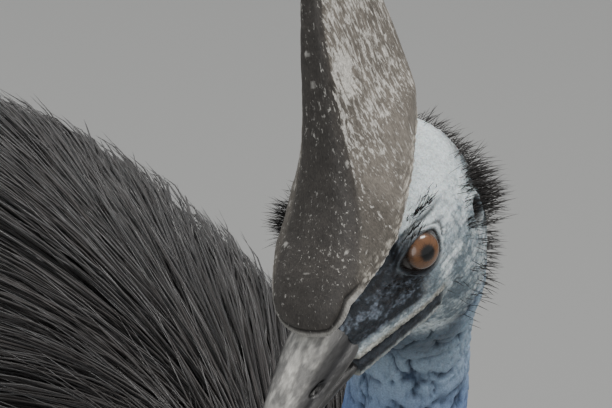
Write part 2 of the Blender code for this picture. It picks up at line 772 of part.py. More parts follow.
def toe_solid(name, start, along, across, length, half_width, scutes, material):
    """One toe lying on the ground, with pads below and a row of scutes on top."""
    last = len(TOE_ROWS) - 1
    places = [(0.0, 0.0)]
    for k in range(scutes):
        top = 0.8 + (last - 1.0) * k / scutes
        places += [(top, 0.0), (top + (last - 1.0) / scutes * 0.9, SCUTE_RISE)]
    rings = []
    for place, raised in (*places, (last, 0.0)):
        share, half_height, width = smooth_rows(TOE_ROWS, (place,))[0]
        centre = start + along * (share * length) + Vector((0, 0, half_height * 0.86))
        points = ring(centre, (0, 0, half_height), across * (half_width * width), 0, 0.9, 8, raised)
        rings.append([Vector((p.x, p.y, max(p.z, 0.0))) for p in points])
    return loft(name, rings, material)


def claw_solid(name, root, along, across, length, material):
    """One claw, thickest a little way out and drawn to a low point."""
    rings = []
    for share, height, half_height, half in smooth_rows(CLAW_ROWS, 7):
        centre = root + along * (share * length) + Vector((0, 0, height))
        rings.append(ring(centre, (0, 0, half_height), across * half, 0, 1, 8))
    return loft(name, rings, material)


def foot(side, name, materials, leg):
    """The pad under the leg with three toes and their claws, all standing on the ground."""
    start = Vector((side * FEET_APART / 2, FOOT_Y - side * STRIDE, 0))
    pad_rows = (
        (0.0000, 0.0300, 0.0360),
        (0.0120, 0.0380, 0.0410),
        (0.0300, 0.0370, 0.0380),
        (0.0460, 0.0330, 0.0330),
        (0.0617, 0.0285, 0.0275),
    )
    rings = [
        ring((start.x, start.y, z), (0, -depth, 0), (width, 0, 0), 0, 1.0, 14)
        for z, depth, width in smooth_rows(pad_rows, 6)
    ]
    pad = loft("foot_" + name, rings, materials["leg_scale"])
    fit_against(pad, leg)
    toes = []
    for toe, turn, length, half_width, claw_length, scutes in TOES:
        angle = math.radians(turn) * side
        along = Vector((math.sin(angle), -math.cos(angle), 0))
        across = Vector((0, 0, 1)).cross(along)
        material = materials["leg_scale"]
        made = toe_solid(f"toe_{toe}_{name}", start, along, across, length, half_width, scutes, material)
        toes.append(fit_against(made, pad, leg, *toes))
        root = start + along * (length - CLAW_ROOT)
        claw = claw_solid(
            f"claw_{toe}_{name}", root, along, across, claw_length + CLAW_ROOT, materials["claw_horn"]
        )
        fit_against(claw, made)


def wing(side, name, materials, torso):
    """The stump of a wing with its bare quills, lying along the flank."""
    root = Vector((side * 0.190, -0.125, 0.868))
    axes = (Vector((0, 0.050, -0.028)), Vector((side * 0.036, 0, 0)), Vector((0, 0.011, 0.021)))
    stub = ball("wing_" + name, root, axes, 10, 6, materials["quill_horn"])
    quills = []
    for k in range(QUILLS):
        spread = k / (QUILLS - 1)
        path = (
            (0.208, -0.125 + 0.008 * k, 0.866 - 0.004 * k),
            (0.240, -0.060, 0.842 - 0.016 * k),
            (0.258, 0.020 + 0.010 * spread, 0.815 - 0.030 * k),
            (0.262, 0.090 + 0.020 * spread, 0.775 - 0.036 * k),
            (0.258, 0.130 + 0.030 * spread, 0.735 - 0.038 * k),
        )
        path = [Vector((side * x, y, z)) for x, y, z in path]
        quills.append(tube("quill", path, (0.0036, 0.0034, 0.0030, 0.0024, 0.0010), 4))
    boolean(stub, quills, "UNION")
    fit_against(stub, torso, by=0)
    return fit_against(stub, torso, by=SHAGGY_GAP)


def wattle(side, name, materials, neck):
    """One of the pair of lobes that hang from the front of the neck."""
    top = Vector((-0.020, -0.383, 1.092)) + Vector((0.010, -0.005, 0)) * side
    rows = ((0.0, 0.010, 0.005), (0.25, 0.012, 0.006), (0.6, 0.017, 0.0075), (0.85, 0.015, 0.007), (1.0, 0.004, 0.002))
    rings = []
    for k, (share, width, thick) in enumerate(smooth_rows(rows, 11)):
        centre = top + Vector((0.012 * side * share, -0.022 * min(share * 4, 1), -0.110 * share))
        thick *= 1.12 if k % 2 else 0.86
        width *= 1.05 if k % 2 else 0.96
        rings.append(ring(centre, Vector((-0.45, -0.89, 0)) * width, Vector((0.89, -0.45, 0)) * thick, 0, 1, 8))
    made = loft("wattle_" + name, rings, materials["wattle_skin"])
    return fit_against(made, *neck)


def collect_parts(name):
    """Puts every part in one collection."""
    collection = bpy.data.collections.new(name)
    bpy.context.scene.collection.children.link(collection)
    for thing in list(bpy.context.scene.collection.objects):
        bpy.context.scene.collection.objects.unlink(thing)
        collection.objects.link(thing)


def stand_on_origin():
    """Moves every part so that the middle of the whole box's bottom is the origin."""
    solids = [thing for thing in bpy.data.objects if thing.type == "MESH"]
    corners = np.array([vertex.co for thing in solids for vertex in thing.data.vertices])
    low, high = corners.min(axis=0), corners.max(axis=0)
    shift = Vector((-(low[0] + high[0]) / 2, -(low[1] + high[1]) / 2, -low[2]))
    for thing in solids:
        thing.data.transform(Matrix.Translation(shift))


def main():
    clear_scene()
    materials = make_materials()
    head, *necks = head_and_neck(materials)
    upper, lower = bill(materials)
    face_features(head)
    eyes(materials, head)
    casque(materials, head, upper)
    torso, tail = body(materials, necks[1:])
    for side, name in ((1, "left"), (-1, "right")):
        leg = shank(side, "shank_" + name, materials)
        thigh(side, "thigh_" + name, materials, torso, leg)
        foot(side, name, materials, leg)
        wing(side, name, materials, torso)
        wattle(side, name, materials, necks)
    collect_parts("cassowary")
    stand_on_origin()


main()
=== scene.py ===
"""Looks for a life-size southern cassowary: skin, horn, eyes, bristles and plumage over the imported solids.

Metres, +Z up, the bird faces -Y. Places on the head are written in its own axes: forward to the bill,
left, and up to the casque, from the point midway between the eyes.
"""

import math
from itertools import product

import bmesh
import bpy
import numpy as np
from bpy.props import FloatProperty, FloatVectorProperty, IntProperty, PointerProperty
from mathutils import Matrix, Vector
from mathutils.bvhtree import BVHTree


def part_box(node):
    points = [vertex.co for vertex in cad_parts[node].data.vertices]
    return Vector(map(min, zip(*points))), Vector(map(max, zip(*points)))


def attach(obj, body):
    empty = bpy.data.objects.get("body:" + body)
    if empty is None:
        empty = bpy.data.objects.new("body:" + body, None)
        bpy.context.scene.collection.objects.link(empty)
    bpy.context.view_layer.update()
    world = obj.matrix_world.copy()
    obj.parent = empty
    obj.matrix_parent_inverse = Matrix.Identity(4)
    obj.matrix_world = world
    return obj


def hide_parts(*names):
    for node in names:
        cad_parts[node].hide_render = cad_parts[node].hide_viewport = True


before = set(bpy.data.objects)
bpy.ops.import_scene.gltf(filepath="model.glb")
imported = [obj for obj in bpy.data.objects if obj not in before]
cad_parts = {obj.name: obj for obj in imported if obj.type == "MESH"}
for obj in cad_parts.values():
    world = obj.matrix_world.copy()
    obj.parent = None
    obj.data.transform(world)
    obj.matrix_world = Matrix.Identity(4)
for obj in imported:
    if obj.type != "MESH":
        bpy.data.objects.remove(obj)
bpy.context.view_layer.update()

bl_info = {
    "name": "Cassowary dress",
    "version": (1, 0, 0),
    "blender": (4, 5, 0),
    "location": "3D View > Sidebar > Cassowary",
    "description": "Builds the skin, horn, eyes and plumage of a standing cassowary",
    "category": "Object",
}

# Where the head is and how it is turned, in degrees, with the eyes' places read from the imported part
HEAD_TURN = 68.0
HEAD_DIP = 12.0
HEAD_TILT = 9.6
WORKING_EYES = np.array((-0.074, -0.410, 1.355))


def middle_of(node):
    """The middle of a node's box."""
    low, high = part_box(node)
    return (np.array(low) + np.array(high)) / 2


def head_axes():
    """The head's forward, left and up directions, one to a row."""
    turn, dip, tilt = (math.radians(angle) for angle in (HEAD_TURN, HEAD_DIP, HEAD_TILT))
    forward = Vector((-math.sin(turn) * math.cos(dip), -math.cos(turn) * math.cos(dip), -math.sin(dip)))
    level_left = Vector((0, 0, 1)).cross(forward).normalized()
    left = Matrix.Rotation(tilt, 3, forward) @ level_left
    return np.array((forward, left, forward.cross(left)))


AXES = head_axes()
FORWARD, LEFT, UP = AXES
EYE_PLACES = {1: middle_of("eye_left"), -1: middle_of("eye_right")}
HEAD = (EYE_PLACES[1] + EYE_PLACES[-1]) / 2
SHIFT = HEAD - WORKING_EYES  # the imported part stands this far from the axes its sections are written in


def from_head(places):
    """World points from places in the head's own axes."""
    return HEAD + np.asarray(places, float) @ AXES


def to_head(points):
    """Places in the head's own axes from world points."""
    return (np.asarray(points, float) - HEAD) @ AXES.T


# Small mathematics shared by every piece


def smooth_rows(rows, places):
    """A table's rows read along a smooth curve through them at the given places."""
    rows = np.asarray(rows, float)
    places = np.asarray(places, float)
    last = len(rows) - 1
    i = np.clip(places.astype(int), 0, last - 1)
    f = (places - i)[:, None]
    before, here, there, after = (rows[np.clip(i + k, 0, last)] for k in (-1, 0, 1, 2))
    return 0.5 * (
        2 * here
        + (there - before) * f
        + (2 * before - 5 * here + 4 * there - after) * f**2
        + (3 * here - before - 3 * there + after) * f**3
    )


def read_rows(rows, count):
    """Rows read from a table at even steps."""
    return smooth_rows(rows, np.linspace(0, len(rows) - 1, count))


def power(value, exponent):
    """A power that keeps the sign."""
    return np.sign(value) * np.abs(value) ** exponent


def blend(value, start, end):
    """0 before start and 1 after end, with a soft rise between them; start may be the greater."""
    f = np.clip((value - start) / (end - start), 0, 1)
    return f * f * (3 - 2 * f)


def hump(value, middle, width):
    """1 at the middle, falling to 0 on both sides."""
    return np.exp(-(((value - middle) / width) ** 2))


def unit(vectors):
    """Vectors made one long."""
    return vectors / np.maximum(np.linalg.norm(vectors, axis=-1, keepdims=True), 1e-12)


def scattered(cells, seed):
    """A number from 0 to 1 for each whole-numbered place, the same at every run."""
    x, y, z = (cells[..., k].astype(np.int64).astype(np.uint32) for k in range(3))
    n = x * np.uint32(374761393) + y * np.uint32(668265263)
    n = n + z * np.uint32(2246822519) + np.uint32(seed * 7919)
    n = (n ^ (n >> np.uint32(15))) * np.uint32(2246822519)
    n = (n ^ (n >> np.uint32(13))) * np.uint32(3266489917)
    return (n ^ (n >> np.uint32(16))) / 4294967295.0


def hills(points, size, seed=0, layers=1):
    """Smooth random hills from -1 to 1, about size across, with finer layers on top."""
    total = 0
    weight = 1.0
    whole = 0.0
    for layer in range(layers):
        p = np.asarray(points) / (size / 2.0**layer)
        cell = np.floor(p)
        f = p - cell
        f = f * f * (3 - 2 * f)
        value = 0
        for corner in product((0, 1), repeat=3):
            share = np.prod(np.where(corner, f, 1 - f), axis=-1)
            value = value + share * scattered(cell + corner, seed + 31 * layer)
        total = total + weight * (2 * value - 1)
        whole += weight
        weight *= 0.5
    return total / whole


def pebbles(points, size, seed=0):
    """Distances to the nearest and next of scattered points, in sizes, and a number for the nearest."""
    p = np.asarray(points) / size
    cell = np.floor(p)
    near = np.full(p.shape[:-1], 9.0)
    after = near.copy()
    number = near.copy()
    for offset in product((-1, 0, 1), repeat=3):
        c = cell + offset
        spot = c + np.stack([scattered(c, seed + k) for k in range(3)], -1)
        away = np.linalg.norm(p - spot, axis=-1)
        closer = away < near
        after = np.where(closer, near, np.minimum(after, away))
        number = np.where(closer, scattered(c, seed + 5), number)
        near = np.where(closer, away, near)
    return near, after, number


# Meshes from grids of points


def mesh_object(name, points, faces, material, smooth=True):
    """An object from points and arrays of faces; an array's columns are its faces' corners."""
    faces = [np.asarray(part, np.int32) for part in faces if len(part)]
    mesh = bpy.data.meshes.new(name)
    points = np.asarray(points, np.float32).reshape(-1, 3)
    mesh.vertices.add(len(points))
    mesh.vertices.foreach_set("co", points.ravel())
    corners = np.concatenate([part.ravel() for part in faces])
    counts = np.concatenate([np.full(len(part), part.shape[1]) for part in faces])
    mesh.loops.add(len(corners))
    mesh.loops.foreach_set("vertex_index", corners)
    mesh.polygons.add(len(counts))
    mesh.polygons.foreach_set("loop_start", (np.cumsum(counts) - counts).astype(np.int32))
    mesh.update(calc_edges=True)
    if smooth:
        mesh.polygons.foreach_set("use_smooth", np.ones(len(counts), bool))
    mesh.materials.append(material)
    thing = bpy.data.objects.new(name, mesh)
    bpy.context.scene.collection.objects.link(thing)
    return thing


def grid_faces(rows, around, start=0):
    """Four-sided faces of a tube of rings, and one face to close each end."""
    i = np.arange(rows - 1)[:, None]
    j = np.arange(around)[None, :]
    k = (j + 1) % around
    low, high = i * around, (i + 1) * around
    quads = np.stack(np.broadcast_arrays(low + j, low + k, high + k, high + j), -1)
    first = np.arange(around)[::-1][None, :]
    last = (rows - 1) * around + np.arange(around)[None, :]
    return [quads.reshape(-1, 4) + start, first + start, last + start]


def grid_normals(grid, inside):
    """Outward directions of a tube of rings; inside is a point within each ring."""
    along = np.gradient(grid, axis=0)
    round_it = np.roll(grid, -1, axis=1) - np.roll(grid, 1, axis=1)
    normal = unit(np.cross(round_it, along))
    outward = np.sum(normal * (grid - inside), axis=-1)
    return np.where(np.median(outward) < 0, -normal, normal)


def tint(thing, colours, name="tint"):
    """Keeps a colour for each point, as red, green and blue."""
    layer = thing.data.attributes.new(name, "FLOAT_COLOR", "POINT")
    flat = np.ones((len(thing.data.vertices), 4), np.float32)
    flat[:, :3] = np.clip(np.asarray(colours).reshape(-1, 3), 0.0, 1.0)
    layer.data.foreach_set("color", flat.ravel())


def place_marks(thing, places, name="place"):
    """Keeps a position for each point, for a finish that follows the piece's own axes."""
    layer = thing.data.attributes.new(name, "FLOAT_VECTOR", "POINT")
    layer.data.foreach_set("vector", np.asarray(places, np.float32).ravel())


def mixed(low, high, share):
    """A colour between two, by share."""
    low = np.asarray(low, float)
    high = np.asarray(high, float)
    share = np.asarray(share)[..., None]
    return low * (1 - share) + high * share


def tree_of(thing):
    """A tree of an object's faces, for finding the nearest point on it."""
    bm = bmesh.new()
    bm.from_mesh(thing.data)
    tree = BVHTree.FromBMesh(bm)
    bm.free()
    return tree


def faces_out(grid):
    """Whether a tube's own winding faces out."""
    along = np.diff(grid, axis=0)
    round_it = (np.roll(grid, -1, axis=1) - grid)[:-1]
    away = (grid - grid.mean(axis=1, keepdims=True))[:-1]
    return np.median(np.sum(np.cross(round_it, along) * away, axis=-1)) > 0


def tubes_object(name, grids, material):
    """One object from closed tubes of rings, every face turned outward."""
    points, faces, start = [], [], 0
    for grid in grids:
        made = grid_faces(*grid.shape[:2], start)
        faces += made if faces_out(grid) else [part[:, ::-1] for part in made]
        points.append(grid.reshape(-1, 3))
        start += grid.shape[0] * grid.shape[1]
    return mesh_object(name, np.concatenate(points), faces, material)


def apply_changes(thing):
    """Puts an object's modifiers into its mesh."""
    bpy.context.view_layer.update()
    graph = bpy.context.evaluated_depsgraph_get()
    mesh = bpy.data.meshes.new_from_object(thing.evaluated_get(graph))
    thing.modifiers.clear()
    old = thing.data
    thing.data = mesh
    bpy.data.meshes.remove(old)


def one_skin(thing, grain, softening):
    """Joins overlapping tubes into one closed skin and softens where they meet."""
    join = thing.modifiers.new("join", "REMESH")
    join.mode = "VOXEL"
    join.voxel_size = grain
    join.use_smooth_shade = True
    soften = thing.modifiers.new("soften", "SMOOTH")
    soften.factor = 0.5
    soften.iterations = softening
    material = thing.data.materials[0]
    apply_changes(thing)
    if not thing.data.materials:
        thing.data.materials.append(material)


def points_of(thing):
    """An object's points and the directions they face."""
    mesh = thing.data
    points = np.zeros(len(mesh.vertices) * 3, np.float32)
    mesh.vertices.foreach_get("co", points)
    normals = np.zeros(len(mesh.vertices) * 3, np.float32)
    mesh.vertex_normals.foreach_get("vector", normals)
    return points.reshape(-1, 3).astype(float), normals.reshape(-1, 3).astype(float)


def finish_piece(thing, slot, *nodes):
    """Fixes a piece to the one body and hides the solids it stands for; the name of its finish is not used.
    """
    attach(thing, "root")
    if nodes:
        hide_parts(*nodes)
    return thing


# Finishes


class Finish:
    """A material being put together: one Principled shader and the nodes that feed it."""

    def __init__(self, name, roughness=0.5, **sockets):
        self.material = bpy.data.materials.new(name)
        self.material.use_nodes = True
        self.tree = self.material.node_tree
        self.shader = self.tree.nodes["Principled BSDF"]
        self.shader.inputs["Roughness"].default_value = roughness
        for socket, value in sockets.items():
            self.shader.inputs[socket.replace("_", " ")].default_value = value
        self.height = None

    def node(self, kind, settings=(), **inputs):
        """Adds a node and sets or links its inputs by name."""
        made = self.tree.nodes.new("ShaderNode" + kind)
        for name, value in dict(settings).items():
            setattr(made, name, value)
        for name, value in inputs.items():
            self.feed(made.inputs[name.replace("_", " ")], value)
        return made

    def feed(self, socket, value):
        """Sets or links an input."""
        if isinstance(value, bpy.types.NodeSocket):
            self.tree.links.new(value, socket)
        elif isinstance(value, bpy.types.Node):
            self.tree.links.new(next(output for output in value.outputs if output.enabled), socket)
        else:
            socket.default_value = value

    def kept(self, name, output="Color"):
        """A colour or place kept on the mesh."""
        return self.node("Attribute", {"attribute_name": name}).outputs[output]

    def stretched(self, vector, scale):
        """A place stretched along its axes."""
        return self.node("Mapping", Vector=vector, Scale=scale)

    def noise(self, vector, scale, detail=3.0, roughness=0.55, distortion=0.0):
        """Cloudy noise of a scale."""
        return self.node(
            "TexNoise", Vector=vector, Scale=scale, Detail=detail, Roughness=roughness, Distortion=distortion
        ).outputs["Fac"]

    def cells(self, vector, scale, feature="F1", randomness=1.0):
        """Cells of a scale."""
        return self.node(
            "TexVoronoi", {"feature": feature}, Vector=vector, Scale=scale, Randomness=randomness
        ).outputs["Distance"]

    def spread(self, value, low, high, to_low=0.0, to_high=1.0):
        """A value stretched from one range to another and held inside it."""
        made = self.node("MapRange", Value=value)
        for name, number in (("From Min", low), ("From Max", high), ("To Min", to_low), ("To Max", to_high)):
            made.inputs[name].default_value = number
        return made.outputs["Result"]

    def sums(self, operation, a, b):
        """Arithmetic on two values."""
        made = self.node("Math", {"operation": operation})
        self.feed(made.inputs[0], a)
        self.feed(made.inputs[1], b)
        return made.outputs[0]

    def mix(self, share, a, b, blend_type="MIX"):
        """Two colours mixed by a share."""
        made = self.node("Mix", {"data_type": "RGBA", "blend_type": blend_type})
        self.feed(made.inputs["Factor"], share)
        self.feed(made.inputs[6], a)
        self.feed(made.inputs[7], b)
        return made.outputs[2]

    def shaded(self, colour, shade):
        """A colour made darker or lighter by a value."""
        grey = self.node("CombineColor", Red=shade, Green=shade, Blue=shade)
        return self.mix(1.0, colour, grey, "MULTIPLY")

    def colour(self, value):
        """Sets the colour of the surface."""
        self.feed(self.shader.inputs["Base Color"], value)

    def rough(self, value):
        """Sets the roughness of the surface."""
        self.feed(self.shader.inputs["Roughness"], value)

    def bump(self, height, distance, strength=1.0):
        """Lays a fine relief over the surface."""
        made = self.node("Bump", Height=height)
        made.inputs["Distance"].default_value = distance
        made.inputs["Strength"].default_value = strength
        if self.height is not None:
            self.feed(made.inputs["Normal"], self.height)
        self.height = made.outputs["Normal"]
        self.feed(self.shader.inputs["Normal"], self.height)


def skin_finish():
    """Bare skin: its kept colour, finely mottled, with small pebbles and creases."""
    made = Finish("bare skin", 0.62, Specular_IOR_Level=0.35, Subsurface_Weight=0.06, Subsurface_Scale=0.003)
    place = made.kept("place", "Vector")
    mottle = made.noise(place, 900.0, 4.0, 0.62)
    fine = made.cells(place, 1500.0)
    shade = made.spread(mottle, 0.3, 0.7, 0.72, 1.22)
    made.colour(made.shaded(made.kept("tint"), shade))
    made.rough(made.spread(mottle, 0.3, 0.7, 0.5, 0.75))
    made.bump(mottle, 0.0006, 0.7)
    made.bump(fine, 0.0003, 0.6)
    return made.material


def casque_finish(pale):
    """Worn horn: grain that runs up the casque, fine scratches and a satin polish."""
    made = Finish("casque horn", 0.45, Specular_IOR_Level=0.4)
    place = made.kept("place", "Vector")
    grain = made.noise(made.stretched(place, (1.0, 1.0, 0.07)), 1300.0, 5.0, 0.68)
    cloud = made.noise(place, 140.0, 3.0)
    lines, clouds = made.spread(grain, 0.3, 0.7, 0.58, 1.42), made.spread(cloud, 0.3, 0.7, 0.84, 1.16)
    shade = made.sums("MULTIPLY", lines, clouds)
    horn = made.shaded(made.kept("tint"), shade)
    streak = made.noise(made.stretched(place, (1.0, 1.0, 0.17)), 620.0, 5.0, 0.66, 0.6)
    wear = made.sums("MULTIPLY", made.kept("wear", "Fac"), 0.34)
    worn = made.spread(made.sums("ADD", streak, wear), 0.650, 0.745)
    tone = made.spread(made.noise(place, 900.0, 3.0), 0.3, 0.7, 0.50, 1.15)
    scar = made.shaded((*pale, 1), tone)
    made.colour(made.mix(made.sums("MULTIPLY", worn, 0.92), horn, scar))
    made.rough(made.spread(grain, 0.3, 0.7, 0.34, 0.60))
    made.bump(grain, 0.0005, 0.5)
    made.bump(worn, 0.0004, -0.5)
    return made.material


def bill_finish():
    """Satin horn of the bill, marbled along its length."""
    made = Finish("bill horn", 0.4, Specular_IOR_Level=0.5)
    place = made.kept("place", "Vector")
    grain = made.noise(made.stretched(place, (0.2, 1.0, 1.0)), 900.0, 4.0, 0.6)
    shade = made.spread(grain, 0.3, 0.7, 0.75, 1.2)
    made.colour(made.shaded(made.kept("tint"), shade))
    made.rough(made.spread(grain, 0.3, 0.7, 0.32, 0.52))
    made.bump(grain, 0.0005, 0.6)
    return made.material


def eye_finish():
    """A wet eye: its kept colours under a clear coat."""
    made = Finish("wet eye", 0.25, Specular_IOR_Level=0.6, Coat_Weight=1.0, Coat_Roughness=0.03, Coat_IOR=1.4)
    made.colour(made.kept("tint"))
    return made.material


def feather_finish(name, roughness=0.48, sheen=0.25):
    """Black-brown hair-like plumage: a kept colour that varies from strand to strand."""
    made = Finish(name, roughness, Specular_IOR_Level=0.45, Sheen_Weight=sheen, Sheen_Roughness=0.5)
    made.colour(made.kept("tint"))
    made.rough(made.spread(made.kept("tint", "Fac"), 0.0, 0.06, roughness - 0.06, roughness + 0.10))
    return made.material


# Sections of the skin from the bill's root over the crown and down the neck, in metres


HEAD_SECTIONS = (
    # throat forward and up, crown forward and up, half width, shift, lift and squareness
    (0.0560, -0.0460, 0.0560, -0.0040, 0.0185, 0.0000, 0.02, 0.95),
    (0.0400, -0.0500, 0.0390, 0.0020, 0.0250, 0.0000, 0.10, 0.92),
    (0.0240, -0.0545, 0.0200, 0.0100, 0.0310, 0.0000, 0.16, 0.88),
    (0.0080, -0.0590, 0.0000, 0.0210, 0.0375, 0.0000, 0.18, 0.86),
    (-0.0030, -0.0630, -0.0220, 0.0320, 0.0400, 0.0000, 0.14, 0.88),
    (-0.0080, -0.0670, -0.0480, 0.0370, 0.0410, 0.0000, 0.08, 0.92),
    (-0.0110, -0.0720, -0.0690, 0.0200, 0.0410, 0.0000, 0.03, 0.96),
    (-0.0130, -0.0780, -0.0780, -0.0100, 0.0395, 0.0000, 0.00, 1.00),
    (-0.0140, -0.0860, -0.0800, -0.0400, 0.0370, -0.0030, 0.00, 1.00),
    (-0.0145, -0.0970, -0.0790, -0.0740, 0.0345, -0.0080, 0.00, 1.00),
)
NECK_SECTIONS = (
    # centre, direction of the back, direction of the left, half depth and half width
    ((-0.0070, -0.3770, 1.240), (0.86, 0.48, 0.16), (0.45, -0.88, 0.06), 0.0335, 0.0330),
    ((-0.0050, -0.3710, 1.175), (0.66, 0.74, 0.14), (0.74, -0.66, 0.02), 0.0345, 0.0340),
    ((-0.0040, -0.3560, 1.105), (0.36, 0.90, 0.22), (0.93, -0.36, 0.00), 0.0370, 0.0360),
    ((-0.0020, -0.3370, 1.040), (0.12, 0.94, 0.32), (0.99, -0.12, 0.00), 0.0420, 0.0400),
    ((0.0000, -0.3090, 0.975), (0.00, 0.90, 0.43), (1.00, 0.00, 0.00), 0.0500, 0.0470),
    ((0.0000, -0.2700, 0.915), (0.00, 0.84, 0.54), (1.00, 0.00, 0.00), 0.0600, 0.0560),
    ((0.0000, -0.2250, 0.865), (0.00, 0.80, 0.60), (1.00, 0.00, 0.00), 0.0560, 0.0540),
)
HEAD_ENDS = 9.0
ROWS_ON_HEAD = 260
ROWS_ON_NECK = 160
AROUND_SKIN = 310
EYE_CROWDING = 0.30  # how much closer the points lie along the sides than on the crown
SKIN_STEPS = 1500  # steps in which the skin's length is measured


def skin_sections():
    """Head and neck sections as one table: centre, dorsal half axis, side half axis, lift and squareness."""
    rows = []
    for throat_f, throat_u, crown_f, crown_u, half_width, shift, lift, square in HEAD_SECTIONS:
        throat = from_head((throat_f, shift, throat_u))
        crown = from_head((crown_f, shift, crown_u))
        rows.append([*((throat + crown) / 2), *((crown - throat) / 2), *(LEFT * half_width), lift, square])
    for centre, back, left, half_depth, half_width in NECK_SECTIONS:
        middle = np.array(centre) + SHIFT
        dorsal, side = unit(np.array(back)) * half_depth, unit(np.array(left)) * half_width
        rows.append([*middle, *dorsal, *side, 0.0, 1.0])
    return np.array(rows)


def ring_points(table, angles):
    """Points round each section of a table: its dorsal axis at angle 0, its side axis a quarter turn on."""
    square = table[:, 10:11]
    up = power(np.cos(angles)[None, :], square)
    out = power(np.sin(angles)[None, :], square)
    centre, dorsal, side, lift = table[:, None, 0:3], table[:, None, 3:6], table[:, None, 6:9], table[:, 9:10]
    return centre + dorsal * up[..., None] + side * (out * (1 + lift * up))[..., None]


def skin_places():
    """Where along the sections the rings go, evenly on the head and a little wider apart down the neck."""
    fine = np.linspace(0, len(HEAD_SECTIONS) + len(NECK_SECTIONS) - 1, SKIN_STEPS)
    grid = ring_points(smooth_rows(skin_sections(), fine), np.linspace(0, 2 * math.pi, 8, endpoint=False))
    step = np.linalg.norm(np.diff(grid, axis=0), axis=-1).max(axis=1)
    walked = np.concatenate([[0], np.cumsum(step)])
    split = np.interp(HEAD_ENDS, fine, walked)
    goals = np.concatenate(
        [np.linspace(0, split, ROWS_ON_HEAD, endpoint=False), np.linspace(split, walked[-1], ROWS_ON_NECK)]
    )
    return np.interp(goals, walked, fine), goals - split


# The head's small forms, in metres along its own axes

EYE_RADIUS = 0.0145
EYE_FACES = (0.35, 0.88, 0.25)
LID_OPENING = (0.0134, 0.0118)
LID_THICKNESS = 0.0016
LID_SLANT = 0.16  # how far the opening is turned, in radians, its rear corner raised
MOUTH_LINE = (
    (-0.014, -0.0408),
    (-0.007, -0.0398),
    (0.012, -0.0375),
    (0.030, -0.0345),
    (0.045, -0.0320),
    (0.060, -0.0312),
)
BROW_LINE = ((-0.034, 0.0150), (-0.020, 0.0175), (-0.004, 0.0165), (0.012, 0.0110), (0.028, 0.0030))
BROW_HEIGHT = 0.0030
BROW_HALF_WIDTH = 0.0034
LORES_SINK = 0.0010
EAR_AT = (-0.045, -0.014)
EAR_HOLE = (0.0042, 0.0066)
EAR_RIM = 0.0022
EAR_DEPTH = 0.0055

# Ridges and grooves along the mouth, each as place above the mouth line, half width and height
MOUTH_FORMS = (
    (0.0, 0.0009, -0.0026),
    (0.0026, 0.0018, 0.0011),
    (-0.0088, 0.0026, 0.0034),
    (-0.0050, 0.0034, 0.0018),
)

# Lid folds, each as distance outside the opening, half width and depth
LID_FOLDS = ((0.0030, 0.0007, 0.0007), (0.0056, 0.0008, 0.0005), (0.0078, 0.0009, 0.0003))
LID_RIM = (0.0014, 0.0007, 0.0005)
LID_SOFTNESS = 0.0022  # how widely the lids run into the skin around them

# Small relief of the skin: size across and height
WRINKLES = (0.010, 0.0009)
PORES = (0.0030, 0.00035)
FINE_WRINKLES = (0.0022, 0.00035)
FOLD_SIZES = (0.0125, 0.0058)
FOLD_SHARES = (0.7, 0.3)
FLAKES = (0.0026, 0.0009)


def eye_axes(side):
    """The way one eye looks, and the forward and upward directions across it."""
    faces = unit(EYE_FACES[0] * FORWARD + side * EYE_FACES[1] * LEFT + EYE_FACES[2] * UP)
    upright = unit(UP - faces * np.dot(UP, faces))
    ahead = unit(FORWARD - faces * np.dot(FORWARD, faces) - upright * np.dot(FORWARD, upright))
    return faces, ahead, upright


def lid_edge(turn):
    """How far the opening of the lids reaches at a turn from the eye's forward direction, as an angle."""
    ahead, upward = np.cos(turn + LID_SLANT), np.sin(turn + LID_SLANT)
    height = np.where(upward > 0, LID_OPENING[1] * 0.76, LID_OPENING[1] * 1.04)
    reach = 1 / np.sqrt((ahead / LID_OPENING[0]) ** 2 + (upward / height) ** 2)
    corner = 0.0022 * np.abs(ahead) ** 14 + 0.0006 * np.clip(-ahead, 0, 1) * np.clip(upward, 0, 1)
    return (reach + corner) / EYE_RADIUS


def shape_lids(points):
    """Draws the skin over each eye into lids with a rounded margin, and sinks it behind the opening."""
    outside = np.full(points.shape[:-1], 1.0)
    for side, centre in EYE_PLACES.items():
        faces, ahead, upright = eye_axes(side)
        away = points - centre
        distance = np.linalg.norm(away, axis=-1)
        near = (distance < 0.034) & ((away @ faces) > -0.001)
        way = away[near] / distance[near][:, None]
        from_axis = np.arccos(np.clip(way @ faces, -1, 1))
        turn = np.arctan2(way @ upright, way @ ahead)
        past = (from_axis - lid_edge(turn)) * EYE_RADIUS  # metres outside the opening, along the ball
        fold = sum(depth * hump(past, at, half) for at, half, depth in LID_FOLDS)
        rim = LID_RIM[2] * hump(past, *LID_RIM[:2])
        lid = EYE_RADIUS + LID_THICKNESS * blend(past, -0.0002, 0.0012) + rim - fold
        lid = np.where(past < 0, EYE_RADIUS - 0.0030 * blend(past, 0.0, -0.0009), lid)
        was = distance[near]
        lid = lid - np.clip(past - 0.0075, 0, 1) * 0.55
        share = np.clip(0.5 + 0.5 * (was - lid) / LID_SOFTNESS, 0, 1)
        joined = lid + (was - lid) * share + LID_SOFTNESS * share * (1 - share)
        inside = blend(past, 0.0020, 0.0004)
        reach = joined * (1 - inside) + lid * inside
        points[near] = centre + way * reach[:, None]
        outside[near] = np.minimum(outside[near], past)
    return points, outside


def worm_folds(places, size, seed):
    """Rounded folds that wander and branch, from 0 in the creases to 1 on their tops."""
    bent = places + 0.45 * size * np.stack([hills(places, size * 1.2, seed + k) for k in range(3)], -1)
    wave = np.abs(hills(bent, size, seed + 7))
    return 1 - (1 - np.clip(wave / 0.30, 0, 1)) ** 2


